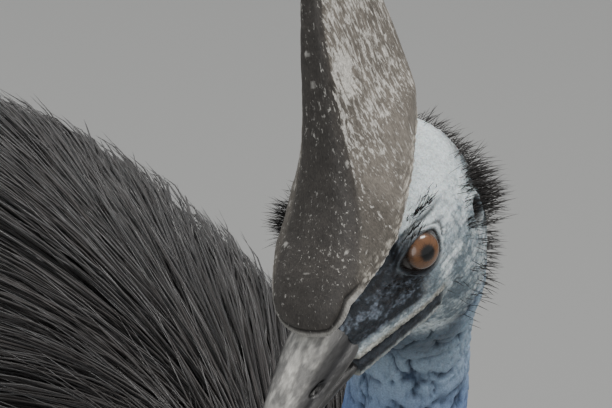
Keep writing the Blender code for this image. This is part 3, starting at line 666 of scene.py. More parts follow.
FACE = (0.70, 0.77, 0.79)
CHEEK = (0.34, 0.43, 0.49)
LORES = (0.022, 0.026, 0.032)
LIP = (0.42, 0.42, 0.38)
NECK_TOP = (0.33, 0.43, 0.53)
# Colour of the painted shade between the neck's folds
NECK_FOLD_SHADE = (0.012, 0.022, 0.045)
NECK_BLUE = (0.045, 0.13, 0.42)
NAPE_RED = (0.42, 0.075, 0.03)
CRUST = (0.62, 0.58, 0.50)


def skin_grid(fold_height):
    """Points of the bare skin with its folds, lips, ears and lids, and the masks that its colours follow."""
    places, along = skin_places()
    table = smooth_rows(skin_sections(), places)
    turn = np.linspace(0, 2 * math.pi, AROUND_SKIN, endpoint=False)
    angles = turn + EYE_CROWDING / 2 * np.sin(2 * turn)
    grid = ring_points(table, angles)
    normal = grid_normals(grid, table[:, None, 0:3])
    head = to_head(grid)
    forward, up = head[..., 0], head[..., 2]
    out = np.abs(head[..., 1])
    on_head = blend(along, 0.018, -0.012)[:, None] * np.ones_like(forward)
    mirrored = np.stack([forward, out, up], -1)

    mouth_f, mouth_u = np.array(MOUTH_LINE).T
    over_mouth = up - np.interp(forward, mouth_f, mouth_u)
    side_on = blend(out, 0.006, 0.012)
    at_mouth = blend(forward, -0.016, -0.004) * side_on * on_head
    brow_f, brow_u = np.array(BROW_LINE).T
    over_brow = up - np.interp(forward, brow_f, brow_u)
    brow = hump(over_brow, 0, BROW_HALF_WIDTH) * side_on
    brow = brow * blend(forward, -0.036, -0.020) * blend(forward, 0.034, 0.020)

    rise = BROW_HEIGHT * brow
    for at, half, height in MOUTH_FORMS:
        rise = rise + height * hump(over_mouth, at, half) * at_mouth
    lores = blend(forward, -0.004, 0.010) * blend(over_mouth, 0.006, 0.011) * on_head * side_on
    rise = rise - LORES_SINK * lores

    ear_away = np.hypot((forward - EAR_AT[0]) / EAR_HOLE[0], (up - EAR_AT[1]) / EAR_HOLE[1])
    at_ear = side_on * on_head
    rise = rise + at_ear * (EAR_RIM * hump(ear_away, 1.35, 0.42) - EAR_DEPTH * blend(ear_away, 1.15, 0.55))

    # Wrinkles run along the lips, behind the mouth and round the eye; folds cover the neck
    creased = hills(mirrored * (1, 1, 2.6), WRINKLES[0], 3, 3)
    at_cheek = blend(forward, 0.006, -0.012) * blend(up, 0.020, 0.0) * on_head
    rise = rise + WRINKLES[1] * creased * (0.25 + 0.75 * at_cheek) * on_head
    near, after, number = pebbles(mirrored, PORES[0], 5)
    rise = rise + PORES[1] * blend(after - near, 0.0, 0.3) * on_head
    rise = rise + FINE_WRINKLES[1] * hills(mirrored, FINE_WRINKLES[0], 4, 2) * on_head
    folds = FOLD_SHARES[0] * worm_folds((grid - HEAD) * (1, 1, 1.15), FOLD_SIZES[0], 11)
    folds = folds + FOLD_SHARES[1] * worm_folds(grid - HEAD, FOLD_SIZES[1], 14)
    loose = blend(along, -0.034, 0.006)[:, None] * np.ones_like(forward)
    rise = rise + loose * (fold_height * (folds - 0.65) + 0.0006 * hills(grid, 0.004, 12, 2))
    line = np.interp(forward, *np.array(UNDER_CASQUE[::-1]).T)
    border = hump(up - line, -0.0015, 0.0034) * blend(forward, 0.046, 0.034) * on_head
    near, after, number = pebbles(mirrored, FLAKES[0], 6)
    flakes = border * (number > 0.35) * blend(near, 0.55, 0.35)
    rise = rise + FLAKES[1] * flakes
    rise = rise * blend(along, 0.46, 0.40)[:, None]

    grid = grid + normal * rise[..., None]
    grid, outside = shape_lids(grid)
    masks = {
        "head": to_head(grid),
        "over_mouth": over_mouth,
        "at_mouth": at_mouth,
        "lores": lores,
        "under_brow": over_brow + 0.0034,
        "at_brow": blend(forward, -0.026, -0.014) * blend(forward, 0.036, 0.026) * side_on,
        "ear": blend(ear_away, 1.6, 0.8) * at_ear,
        "folds": folds,
        "flakes": flakes,
        "loose": loose,
        "outside": outside,
        "angles": angles[None, :] * np.ones_like(forward),
        "along": along[:, None] * np.ones_like(forward),
    }
    return grid, masks


def skin_colours(grid, masks, colours):
    """The skin's colour at each point: pale face, dark lores, light lips, folds of blue on the neck, and
    painted shade.
    """
    head = masks["head"]
    forward, out, up = head[..., 0], np.abs(head[..., 1]), head[..., 2]
    mirrored = np.stack([forward, out, up], -1)
    speckle = hills(mirrored, 0.0013, 21, 2)
    patch = hills(mirrored, 0.011, 22, 3)
    face, cheek = np.array(colours.face), np.array(colours.cheek)
    neck_top, neck_blue, nape_red = map(np.array, (colours.neck_top, colours.neck_blue, colours.nape))
    crown = blend(up, 0.000, 0.022)
    colour = mixed(face, cheek, blend(patch, -0.1, 0.6) * (0.75 - 0.6 * crown))
    low_cheek = blend(up, 0.006, -0.028)
    colour = mixed(colour, cheek * 0.55, low_cheek * blend(patch + 0.6 * speckle, -0.45, 0.5))
    # Painted shade along fine crease lines of the face, less on the crown
    creases = hills(mirrored * (1, 1, 2.2), 0.0075, 25, 2)
    colour = mixed(colour, cheek * 0.40, hump(creases, 0.0, 0.09) * (0.75 - 0.50 * crown))
    behind_ear = blend(forward, -0.050, -0.064) * blend(up, 0.028, 0.012)
    colour = colour * (1 - 0.80 * behind_ear * blend(speckle + patch, -0.9, 0.1))[..., None]
    # Painted shadow in a thin line under the brow ridge
    colour = colour * (1 - 0.85 * hump(masks["under_brow"], 0.0, 0.0012) * masks["at_brow"])[..., None]
    dark = masks["lores"] * blend(forward, -0.004, 0.012)
    streaks = hills(mirrored * (0.35, 1, 1), 0.0026, 27, 2)
    lores = mixed(LORES, np.array(LORES) * 8.0, blend(0.8 * speckle + 0.4 * patch + 0.8 * streaks, -0.1, 0.9))
    colour = mixed(colour, lores, dark)
    over = masks["over_mouth"]
    at_mouth = masks["at_mouth"]
    lip_tone = mixed(np.array(LIP) * 0.45, np.array(LIP) * 1.25, blend(speckle + patch, -0.5, 0.6))
    run = hills(mirrored * (0.26, 1, 1), 0.0020, 26, 2)
    lip_tone = lip_tone * (1 + 0.5 * run)[..., None]
    colour = mixed(colour, lip_tone, at_mouth * blend(over, 0.0062, 0.0040) * blend(over, 0.0002, 0.0010))
    under_lip = np.array(LORES) * (1.6 + 1.4 * run + 0.8 * speckle)[..., None]
    colour = mixed(colour, under_lip, at_mouth * blend(over, 0.0004, -0.0004) * blend(over, -0.0078, -0.0062))
    colour = mixed(colour, lip_tone, at_mouth * hump(over, -0.0090, 0.0017))
    colour = mixed(colour, (0.004, 0.004, 0.005), at_mouth * hump(over, 0.0, 0.0009))
    # Painted shade in the creases between the neck's folds, with their tops in the neck's own colours
    deep = mixed(NECK_FOLD_SHADE, np.array(NECK_FOLD_SHADE) * 2.2, blend(patch, -0.5, 0.5))
    top = mixed(neck_top, neck_blue, blend(masks["along"], 0.05, 0.18))
    nape = blend(np.cos(masks["angles"]), 0.30, 0.85) * blend(masks["along"], 0.10, 0.20)
    top = mixed(top, nape_red, nape)
    deep = mixed(deep, nape_red * 0.15, nape)
    neck = mixed(deep, top, blend(masks["folds"] + 0.20 * hills(grid, 0.003, 24, 2), 0.15, 0.95))
    # Painted shade on the underside of the neck just under the head
    throat = blend(np.cos(masks["angles"]), -0.25, -0.75) * blend(masks["along"], 0.08, 0.02)
    neck = neck * (1 - 0.62 * throat)[..., None]
    colour = mixed(colour, neck, masks["loose"] * blend(over, -0.004, -0.012))
    behind = blend(masks["along"], -0.030, 0.004)
    colour = mixed(colour, neck, behind)
    colour = mixed(colour, CRUST, masks["flakes"])
    # Painted shade in the ear opening
    colour = mixed(colour, (0.006, 0.006, 0.008), masks["ear"])
    rear = blend(forward, 0.004, -0.008)
    around = blend(masks["outside"], 0.0060, 0.0015) * (1 - 0.75 * rear)
    colour = mixed(colour, np.array(LORES) * 2.0, 0.85 * around)
    # Painted shadow where the lids meet the eyeball, and painted shade in the lids' folds
    lid_shade = blend(masks["outside"], 0.0011, 0.0001) + 0.75 * hump(masks["outside"], 0.0031, 0.0006)
    lid_shade = lid_shade + 0.6 * hump(masks["outside"], 0.0055, 0.0006) * (1 - rear)
    colour = mixed(colour, (0.012, 0.010, 0.010), np.clip(lid_shade, 0, 1))
    colour = mixed(colour, face * 0.8, (0.20 + 0.65 * rear) * hump(masks["outside"], 0.0017, 0.0005))
    return colour


def build_skin(sizes, colours):
    """The bare skin of head and neck, as one piece."""
    grid, masks = skin_grid(sizes.fold_height)
    thing = tubes_object("skin", [grid], skin_finish())
    tint(thing, skin_colours(grid, masks, colours))
    place_marks(thing, masks["head"])
    return thing


# Eyes


EYE_POINTS = 110  # rings from front to back, and points round each
CORNEA_RISE = 0.0011
EYE_BLACK = (0.002, 0.002, 0.002)
EYE_RIM = (0.02, 0.014, 0.012)


def build_eye(name, side, colours):
    """One eyeball with a domed front, coloured from the pupil out."""
    faces, ahead, upright = eye_axes(side)
    slope = np.maximum(np.linspace(0.0, 1.0, EYE_POINTS) ** 1.6 * (math.pi * 0.97), 0.004)
    turn = np.linspace(0, 2 * math.pi, EYE_POINTS, endpoint=False)
    dome = CORNEA_RISE * blend(slope, 0.86, 0.55)
    radius = (EYE_RADIUS - 0.0002 + dome)[:, None, None]
    round_it = np.cos(turn)[None, :, None] * ahead + np.sin(turn)[None, :, None] * upright
    way = np.cos(slope)[:, None, None] * faces + np.sin(slope)[:, None, None] * round_it
    grid = EYE_PLACES[side] + way * radius
    thing = tubes_object(name, [grid], eye_finish())
    wide = slope[:, None] * EYE_RADIUS * np.ones((1, EYE_POINTS))
    spokes = np.stack(np.broadcast_arrays(np.cos(turn) * 9, np.sin(turn) * 9, wide * 300), -1)
    rays = hills(spokes, 0.35, 41, 2)
    amber = np.array(colours.iris)
    iris = mixed(amber * 0.38, amber, blend(rays + 1.1 * hump(wide, 0.0068, 0.0022), -0.3, 1.3))
    iris = mixed(iris, amber * 0.12, blend(wide, 0.0092, 0.0112))
    colour = mixed(EYE_BLACK, iris, blend(wide + 0.0004 * rays, 0.0030, 0.0052))
    colour = mixed(colour, EYE_RIM, blend(wide, 0.0112, 0.0120))
    tint(thing, colour)
    return thing


# The casque

CASQUE_SECTIONS = (
    # height, front, back, half width and squareness
    (-0.0140, 0.0660, -0.0560, 0.0255, 0.75),
    (0.0040, 0.0690, -0.0590, 0.0300, 0.74),
    (0.0200, 0.0570, -0.0610, 0.0315, 0.72),
    (0.0360, 0.0370, -0.0630, 0.0285, 0.68),
    (0.0540, 0.0215, -0.0650, 0.0225, 0.60),
    (0.0780, 0.0100, -0.0675, 0.0160, 0.54),
    (0.1040, 0.0010, -0.0675, 0.0120, 0.50),
    (0.1300, -0.0080, -0.0650, 0.0095, 0.50),
    (0.1500, -0.0170, -0.0610, 0.0075, 0.54),
    (0.1630, -0.0270, -0.0540, 0.0050, 0.62),
    (0.1680, -0.0350, -0.0470, 0.0018, 0.80),
)
UNDER_CASQUE = (
    (0.100, -0.008),
    (0.066, -0.003),
    (0.054, 0.0100),
    (0.036, 0.0145),
    (0.011, 0.019),
    (-0.011, 0.030),
    (-0.045, 0.039),
    (-0.058, 0.040),
    (-0.100, 0.040),
)
HORN = (0.135, 0.120, 0.102)
# Colour of the painted shade over the casque's front
FRONT_SHADE = (0.064, 0.057, 0.051)
SCRATCH = (0.74, 0.71, 0.65)
ROWS_ON_CASQUE = 280
AROUND_CASQUE = 240


def casque_grid():
    """Points of the smooth casque, the middles of its rings, and the turn of each point."""
    rows = read_rows(CASQUE_SECTIONS, ROWS_ON_CASQUE)
    turn = np.linspace(0, 2 * math.pi, AROUND_CASQUE, endpoint=False)
    ahead = power(np.cos(turn)[None, :], rows[:, 4:5])
    aside = power(np.sin(turn)[None, :], rows[:, 4:5])
    up, front, back, half = (rows[:, k][:, None] for k in range(4))
    forward = (front + back) / 2 + (front - back) / 2 * ahead
    drawn_in = 1 - 0.36 * blend(up, 0.062, 0.034) * blend(forward, -0.004, -0.062)
    places = np.stack([forward, half * aside * drawn_in, up * np.ones_like(forward)], -1)
    middle = np.stack([(front + back) / 2, 0 * front, up], -1)
    return places, middle, turn


def casque_marks(places, turn):
    """Masks of the worn horn: painted shade over its front, creases at the edges of that shade, and the pale
    scratches of the upper sides.
    """
    forward, up = places[..., 0], places[..., 2]
    ridge = turn[None, :] * np.ones_like(up)
    ridge = np.where(ridge > math.pi, ridge - 2 * math.pi, ridge)  # 0 at the front, positive on the left
    wander = 0.05 * hills(places * (1, 1, 0.4), 0.03, 51)
    # Painted shade covers the casque's front between these two edges, wider low down
    shading_left_edge = np.interp(up, (-0.01, 0.02, 0.05, 0.09, 0.17), (0.95, 0.80, 0.72, 0.70, 0.66)) + wander
    shading_right_edge = -np.interp(up, (-0.01, 0.02, 0.05, 0.09, 0.17), (0.70, 0.60, 0.55, 0.50, 0.45)) + wander
    shading = blend(ridge, shading_right_edge - 0.05, shading_right_edge + 0.10)
    shading = shading * blend(ridge, shading_left_edge + 0.06, shading_left_edge - 0.06)
    crease = 0.6 * hump(ridge, shading_left_edge, 0.035) + 0.5 * hump(ridge, shading_right_edge, 0.035)
    crease = crease * blend(up, 0.020, 0.055)
    high = blend(up, 0.035, 0.080)
    beside = blend(ridge, shading_left_edge - 0.03, shading_left_edge + 0.06) * blend(ridge, 2.7, 2.1)
    mirrored = blend(-ridge, 0.5, 0.7) * blend(-ridge, 2.7, 2.1)
    patches = hills(places * (1.0, 1.0, 0.40), 0.011, 56, 3)
    wear = 0.15 + 0.13 * hills(places * (1, 1, 0.5), 0.015, 58, 2)
    wear = wear + high * np.maximum(beside, 0.8 * mirrored) * (0.30 + 0.50 * blend(patches, -0.25, 0.35))
    torn = hills(places, 0.0016, 57, 2)
    near, _, number = pebbles(places * (1.0, 1.0, 0.4) + 0.0014 * torn[..., None], 0.0075, 55)
    specks = blend(near + 0.14 * torn, 0.17, 0.10) * (number > 0.62)
    line = np.interp(forward, *np.array(UNDER_CASQUE[::-1]).T)
    over = up - line
    arch = blend(forward, 0.040, 0.050)
    rim = arch * blend(over, 0.0032, 0.0022)
    seam = arch * hump(over, 0.0042, 0.0009)
    crust, _, number = pebbles(places + 0.0009 * torn[..., None], 0.0026, 59)
    crusty = (1 - arch) * hump(over, 0.0010, 0.0052) * (number > 0.40) * blend(crust, 0.60, 0.40)
    return shading, crease, np.clip(wear, 0, 1), specks, rim, seam, crusty


def build_casque(sizes, colours):
    """The worn horn of the casque, from the arch over the bill to its tip."""
    places, middle, turn = casque_grid()
    normal = grid_normals(places, middle)
    shading, crease, wear, specks, rim, seam, crusty = casque_marks(places, turn)
    rise = -0.0005 * crease - sizes.scratch_depth * wear + 0.0003 * specks
    rise = rise + 0.0005 * rim - 0.0007 * seam + 0.0007 * crusty
    rise = rise + 0.0006 * hills(places * (1, 1, 0.3), 0.012, 61, 2)
    rise = rise + 0.00022 * hills(places * (1, 1, 0.14), 0.0016, 62, 2)
    shaped = places + normal * rise[..., None]
    cloud = hills(places * (1, 1, 0.5), 0.026, 63, 3)
    horn, dark, pale = np.array(colours.horn), np.array(colours.front_shade), np.array(colours.scratch)
    colour = mixed(horn * 0.8, horn * 1.5, blend(cloud + 0.8 * wear, -0.4, 1.0))
    # Painted shade over the front of the casque
    colour = mixed(colour, dark, shading * 0.90)
    # Painted shade in the creases at the edges of the front shade
    colour = mixed(colour, dark * 0.4, np.clip(crease, 0, 1) * 0.6)
    colour = mixed(colour, pale * 0.7, 0.75 * specks)
    colour = mixed(colour, pale * 0.62, 0.75 * rim)
    # Painted shade in the groove above the rim
    colour = mixed(colour, dark * 0.2, 0.9 * seam)
    colour = mixed(colour, CRUST, 0.85 * crusty)
    wear = wear * (1 - crusty) * (1 - rim) * (1 - seam)
    thing = tubes_object("casque_shell", [from_head(shaped)], casque_finish(colours.scratch))
    tint(thing, colour)
    tint(thing, wear[..., None] * np.ones(3), "wear")
    place_marks(thing, shaped)
    cut_under(thing)
    return thing


def cut_under(thing):
    """Cuts the casque along its lower line, so that it sits on the crown and arches over the bill."""
    bm = bmesh.new()
    edge = [bm.verts.new(from_head((f, -0.06, u))) for f, u in UNDER_CASQUE]
    edge += [bm.verts.new(from_head((f, -0.06, -0.06))) for f in (-0.100, 0.100)]
    face = bm.faces.new(edge)
    swept = bmesh.ops.extrude_face_region(bm, geom=[face])
    across = Vector(LEFT * 0.12)
    bmesh.ops.translate(bm, vec=across, verts=[v for v in swept["geom"] if isinstance(v, bmesh.types.BMVert)])
    bmesh.ops.recalc_face_normals(bm, faces=bm.faces)
    mesh = bpy.data.meshes.new("under_casque")
    bm.to_mesh(mesh)
    bm.free()
    cutter = bpy.data.objects.new("under_casque", mesh)
    bpy.context.scene.collection.objects.link(cutter)
    change = thing.modifiers.new("cut", "BOOLEAN")
    change.operation = "DIFFERENCE"
    change.object = cutter
    change.solver = "MANIFOLD"
    apply_changes(thing)
    bpy.data.objects.remove(cutter)


# The bill

BILL_UPPER = (
    # forward, top, bottom and half width
    (0.0400, -0.0030, -0.0300, 0.0150),
    (0.0563, -0.0040, -0.0312, 0.0180),
    (0.0700, -0.0050, -0.0315, 0.0172),
    (0.0850, -0.0095, -0.0320, 0.0152),
    (0.1000, -0.0145, -0.0328, 0.0130),
    (0.1150, -0.0200, -0.0338, 0.0105),
    (0.1260, -0.0265, -0.0370, 0.0072),
    (0.1330, -0.0350, -0.0425, 0.0030),
)
BILL_LOWER = (
    (0.0400, -0.0320, -0.0450, 0.0130),
    (0.0563, -0.0322, -0.0458, 0.0155),
    (0.0700, -0.0322, -0.0450, 0.0132),
    (0.0850, -0.0328, -0.0440, 0.0108),
    (0.1000, -0.0336, -0.0430, 0.0090),
    (0.1130, -0.0346, -0.0415, 0.0068),
    (0.1220, -0.0370, -0.0405, 0.0034),
)
ROWS_ON_BILL = 170
AROUND_BILL = 120
BILL_SQUARENESS = 0.85


def build_bill(name, sections, lift, upper, colours):
    """One half of the bill, marbled along its ridge and cutting edge."""
    table = read_rows(sections, ROWS_ON_BILL)
    turn = np.linspace(0, 2 * math.pi, AROUND_BILL, endpoint=False)
    up = power(np.cos(turn), BILL_SQUARENESS)[None, :]
    out = power(np.sin(turn), BILL_SQUARENESS)[None, :]
    forward, top, bottom, half = (table[:, k][:, None] for k in range(4))
    centre = (top + bottom) / 2
    aside, height = half * out * (1 + lift * up), centre + (top - bottom) / 2 * up
    places = np.stack([forward * np.ones_like(up), aside, height], -1)
    middle = np.stack([forward, 0 * forward, centre], -1)
    normal = grid_normals(places, middle)
    f, left, u = places[..., 0], places[..., 1], places[..., 2]
    aside = np.abs(left)
    sided = blend(aside, 0.003, 0.006)
    share = (u - bottom) / (top - bottom)
    mirrored = np.stack([f, aside, u], -1)
    grain = hills(mirrored * (0.3, 1, 1), 0.0026, 71, 3)
    cloud = hills(mirrored * (0.5, 1, 1), 0.010, 72, 3)
    if upper:
        groove = hump(share, 0.50, 0.11) * blend(f, 0.118, 0.100) * sided
        nostril = np.hypot((f - 0.088) / 0.0062, (u + 0.0200) / 0.0017)
        rise = -0.0017 * groove - 0.0030 * blend(nostril, 1.2, 0.6) * sided
        rise = rise + 0.0006 * hump(share, 0.08, 0.07) * sided
        horn = np.array(colours.bill)
        colour = mixed(horn * 0.55, horn * 1.6, blend(cloud, -0.4, 0.6))
        culmen = blend(share, 0.70, 0.90) * blend(f, 0.128, 0.095)
        marble = mixed((0.20, 0.195, 0.185), (0.62, 0.60, 0.55), blend(grain + 0.6 * cloud, -0.4, 0.6))
        colour = mixed(colour, marble, culmen * 0.9)
        colour = mixed(colour, marble * 0.75, blend(share, 0.30, 0.10) * blend(f, 0.125, 0.085) * 0.8)
        # Painted shade in the groove along the bill's side
        colour = mixed(colour, (0.012, 0.012, 0.014), groove * 0.75)
        # Painted shade in the nostril
        colour = mixed(colour, (0.003, 0.003, 0.003), blend(nostril, 1.25, 0.9) * sided)
    else:
        rise = 0.0004 * hump(share, 0.15, 0.12) * sided
        horn = np.array(colours.bill)
        colour = mixed(horn * 0.45, horn * 1.4, blend(cloud, -0.4, 0.6))
        colour = mixed(colour, (0.42, 0.41, 0.38), blend(share, 0.35, 0.12) * blend(f, 0.115, 0.075) * 0.7)
    rise = rise + 0.00025 * grain
    shaped = places + normal * rise[..., None]
    thing = tubes_object(name, [from_head(shaped)], bill_finish())
    tint(thing, colour)
    place_marks(thing, shaped)
    return thing


# The body under its plumage, in the axes that the sections are written in

COAT_DEPTH = 0.030
SHORT_COAT_DEPTH = 0.012  # of the collar and the thighs
BODY_SECTIONS = (
    # distance back, height of centre, half height, half width and lift
    (-0.372, 0.805, 0.060, 0.060, 0.00),
    (-0.350, 0.810, 0.105, 0.100, 0.00),
    (-0.290, 0.820, 0.160, 0.148, 0.00),
    (-0.200, 0.820, 0.208, 0.190, -0.04),
    (-0.080, 0.812, 0.250, 0.222, -0.06),
    (0.060, 0.808, 0.270, 0.236, -0.08),
    (0.200, 0.795, 0.270, 0.234, -0.08),
    (0.330, 0.768, 0.255, 0.216, -0.08),
    (0.440, 0.728, 0.228, 0.182, -0.06),
    (0.530, 0.678, 0.185, 0.140, -0.04),
    (0.600, 0.625, 0.128, 0.090, 0.00),
    (0.640, 0.585, 0.060, 0.045, 0.00),
)
COLLAR_SECTIONS = (
    # distance back, height, half depth and half width
    (-0.200, 0.850, 0.150, 0.140),
    (-0.245, 0.905, 0.118, 0.108),
    (-0.283, 0.955, 0.086, 0.080),
    (-0.303, 0.995, 0.067, 0.063),
)
FEET_APART = 0.236
STRIDE = 0.040
FOOT_BACK = 0.105


def thigh_sections(side):
    """Sections of one thigh: place aside and back, height, half depth and half width."""
    x = side * FEET_APART / 2
    shift = -side * STRIDE
    return (
        (x * 0.86, 0.080 + shift * 0.5, 0.720, 0.105, 0.085),
        (x * 0.92, 0.110 + shift * 0.6, 0.640, 0.100, 0.078),
        (x * 0.97, 0.140 + shift * 0.8, 0.570, 0.074, 0.062),
        (x, 0.166 + shift * 0.9, 0.520, 0.050, 0.045),
        (x, 0.182 + shift, 0.487, 0.036, 0.033),
        (x, 0.190 + shift, 0.472, 0.029, 0.027),
    )


def body_table(sections, thin, count):
    """Upright sections of the body, drawn in by thin, as centre, upward and sideways half axes."""
    rows = read_rows(sections, count)
    table = np.zeros((count, 11))
    table[:, 1] = rows[:, 0] * (1 - thin / 0.5)
    table[:, 2] = rows[:, 1]
    table[:, 5] = rows[:, 2] - thin
    table[:, 6] = rows[:, 3] - thin
    table[:, 9] = rows[:, 4]
    table[:, 10] = 0.95
    table[:, 0:3] += SHIFT
    return table


def collar_table(thin, count):
    """Sections of the root of the neck, drawn in by thin."""
    rows = read_rows(COLLAR_SECTIONS, count)
    table = np.zeros((count, 11))
    table[:, 1] = rows[:, 0]
    table[:, 2] = rows[:, 1]
    table[:, 4] = (rows[:, 2] - thin) * 0.85
    table[:, 5] = (rows[:, 2] - thin) * 0.53
    table[:, 6] = rows[:, 3] - thin
    table[:, 10] = 1.0
    table[:, 0:3] += SHIFT
    return table


def thigh_table(side, thin, count):
    """Sections of one thigh, drawn in by thin."""
    rows = read_rows(thigh_sections(side), count)
    table = np.zeros((count, 11))
    table[:, 0:3] = rows[:, 0:3] + SHIFT
    table[:, 4] = thin - rows[:, 3]
    table[:, 5] = (thin - rows[:, 3]) * 0.35
    table[:, 6] = rows[:, 4] - thin
    table[:, 10] = 1.0
    return table


def tube_grid(table, around):
    """Points of a tube along a table of sections."""
    return ring_points(table, np.linspace(0, 2 * math.pi, around, endpoint=False))


def build_core():
    """The body's own skin, hidden under the plumage: the surface that the feathers grow from."""
    parts = (
        tube_grid(body_table(BODY_SECTIONS, COAT_DEPTH, 60), 72),
        tube_grid(collar_table(SHORT_COAT_DEPTH, 16), 48),
        tube_grid(thigh_table(1, SHORT_COAT_DEPTH, 24), 32),
        tube_grid(thigh_table(-1, SHORT_COAT_DEPTH, 24), 32),
    )
    look = Finish("body skin", 0.7)
    place = look.node("TexCoord").outputs["Object"]
    shade = look.spread(look.noise(place, 300.0), 0.3, 0.7, 0.008, 0.018)
    look.colour(look.node("CombineColor", Red=shade, Green=shade, Blue=shade))
    return tubes_object("body_skin", parts, look.material)


# Plumage

LIE = np.array((0.0, 0.75, -0.65))
STRAND_SPOTS = np.array((0.0, 0.20, 0.45, 0.72, 1.0))
STRAND_WIDTH = np.array((0.55, 1.0, 0.95, 0.62))
COAT_PIECES = 8
TUFT_SPREAD = 0.020
TUFT_ON_MAP = 0.003
SHORT_SPACING = 0.0085
SHORT_TUFTS = {"per_tuft": 4, "spread": 0.006, "width": 0.0012, "ruffle": 0.002}


def guide_paths(tree, roots, lie, lengths, rise):
    """For each tuft a path over the body in the way the coat lies, hanging free once it leaves the flank."""
    spots = len(STRAND_SPOTS)
    paths = np.zeros((len(roots), spots, 3))
    ups = np.zeros((len(roots), spots, 3))
    for n, root in enumerate(roots):
        here, normal = tree.find_nearest(Vector(root))[:2]
        way = Vector(lie[n])
        started_under = normal.z < -0.25
        heading = (way - normal * way.dot(normal)).normalized()
        for k in range(spots):
            paths[n, k] = here + normal * (rise[n] * (0.05 + 0.95 * STRAND_SPOTS[k] ** 0.6))
            ups[n, k] = normal
            if k == spots - 1:
                break
            step = lengths[n] * (STRAND_SPOTS[k + 1] - STRAND_SPOTS[k])
            there = here + heading * step
            snapped, facing = tree.find_nearest(there)[:2]
            if facing.z > -0.25 or started_under:
                here, normal = snapped, facing
            else:
                here = there
                heading = (heading + Vector((0, 0, -0.45))).normalized()
                normal = (normal + Vector((0, 0, 0.2))).normalized()
            heading = (way - normal * way.dot(normal)).normalized() * 0.8 + heading * 0.2
            heading.normalize()
    return paths, ups


def strand_faces(count, spots):
    """Faces of three-sided strands: their walls, closed roots and pointed tips."""
    last = 3 * (spots - 2)
    quads, tris = [], [(2, 1, 0)]
    for k in range(spots - 2):
        for j in range(3):
            a, b = 3 * k + j, 3 * k + (j + 1) % 3
            quads.append((a, b, b + 3, a + 3))
    for j in range(3):
        tris.append((last + j, last + (j + 1) % 3, last + 3))
    starts = np.arange(count)[:, None, None] * (last + 4)
    return [(np.array(quads) + starts).reshape(-1, 4), (np.array(tris) + starts).reshape(-1, 3)]


def strand_map(thing, roots_uv, per_tuft, spots):
    """The map for baking: each strand beside its root's place on the unrolled body."""
    number = np.arange(len(roots_uv) * per_tuft)[:, None] % per_tuft
    corner = np.arange(3 * spots - 2)
    aside = number / per_tuft + 0.5 / per_tuft * (corner % 3 == 1)
    step = np.concatenate([np.repeat(np.arange(spots - 1), 3), [spots - 1]]) / (spots - 1)
    offsets = np.stack(np.broadcast_arrays(aside, step), -1)
    bake = np.repeat(roots_uv, per_tuft, axis=0)[:, None, :] + TUFT_ON_MAP * offsets
    layer = thing.data.uv_layers.new(name="OFBake")
    corners = np.zeros(len(thing.data.loops), np.int32)
    thing.data.loops.foreach_get("vertex_index", corners)
    layer.data.foreach_set("uv", bake.reshape(-1, 2)[corners].astype(np.float32).ravel())


def strands(name, paths, ups, roots_uv, rng, look, per_tuft, spread, width, tones, ruffle=0.004):
    """Tufts of thin three-sided tapered strands along the guide paths, with the map for baking."""
    tufts, spots = paths.shape[:2]
    along = np.gradient(paths, axis=1)
    across = unit(np.cross(ups, along))
    over = unit(np.cross(along, across))
    s = STRAND_SPOTS[None, None, :]
    fan = rng.uniform(-1, 1, (tufts, per_tuft, 1))
    bow = rng.normal(0, 0.35, (tufts, per_tuft, 1))
    aside = fan * spread * (0.25 + 0.75 * s) + bow * spread * s * (1 - s) * 2
    aside = aside + rng.normal(0, 0.25, fan.shape) * spread * s**2
    lift = rng.uniform(-1, 1, fan.shape) * ruffle * (0.3 + s)
    lift = lift + rng.normal(0, 0.4, fan.shape) * ruffle * s**2 * 2
    trim = rng.uniform(0.72, 1.0, fan.shape)
    place = trim * (spots - 1) * np.linspace(0, 1, spots)[None, None, :]
    low = np.clip(place.astype(int), 0, spots - 2)
    share = (place - low)[..., None]
    index = np.arange(tufts)[:, None, None]

    def read(values):
        return values[index, low] * (1 - share) + values[index, low + 1] * share

    middle = read(paths) + read(across) * aside[..., None] + read(over) * lift[..., None]
    side, high = unit(read(across)), unit(read(over))
    half = width * rng.uniform(0.7, 1.3, fan.shape) / 2 * STRAND_WIDTH[None, None, :]
    turns = rng.uniform(0, 2 * math.pi, fan.shape) + np.array((0, 2.094, 4.189))[None, None, :]
    turns = turns[:, :, None, :, None]
    ring = np.cos(turns) * side[:, :, :-1, None] + np.sin(turns) * high[:, :, :-1, None]
    rings = middle[:, :, :-1, None] + half[..., None, None] * ring
    count = tufts * per_tuft
    rings = rings.reshape(count, (spots - 1) * 3, 3)
    points = np.concatenate([rings, middle[:, :, -1].reshape(count, 1, 3)], axis=1)
    thing = mesh_object(name, points, strand_faces(count, spots), look)
    shade = np.repeat(tones, per_tuft, axis=0)[:, None, :] * rng.uniform(0.6, 1.5, (count, 1, 1))
    tint(thing, shade * np.ones((1, points.shape[1], 1)))
    strand_map(thing, roots_uv, per_tuft, spots)
    return thing


def staggered(i, number, rng):
    """Turns of the roots of one row; every second row is set half a place on."""
    return 2 * math.pi * (np.arange(number) + (i % 2) / 2 + rng.uniform(-0.4, 0.4, number)) / number


def on_map(turn, height):
    """Places of a row's roots on the unrolled body."""
    return np.stack([(turn / (2 * math.pi)) % 1.0, np.full(len(turn), height)], -1)


def body_roots(rng, spacing):
    """Roots all over the body in staggered rows, with their place on the body's unrolled surface."""
    roots, places = [], []
    count = int(1.15 / spacing)
    for i, row in enumerate(body_table(BODY_SECTIONS, COAT_DEPTH, count)):
        round_it = 2 * math.pi * math.sqrt((row[5] ** 2 + row[6] ** 2) / 2)
        number = max(int(round_it / spacing), 4)
        turn = staggered(i, number, rng)
        row = row.copy()
        row[1] += rng.uniform(-0.4, 0.4) * spacing
        roots.append(ring_points(row[None], turn)[0])
        places.append(on_map(turn, (i + 0.5) / count))
    return np.concatenate(roots), np.concatenate(places)


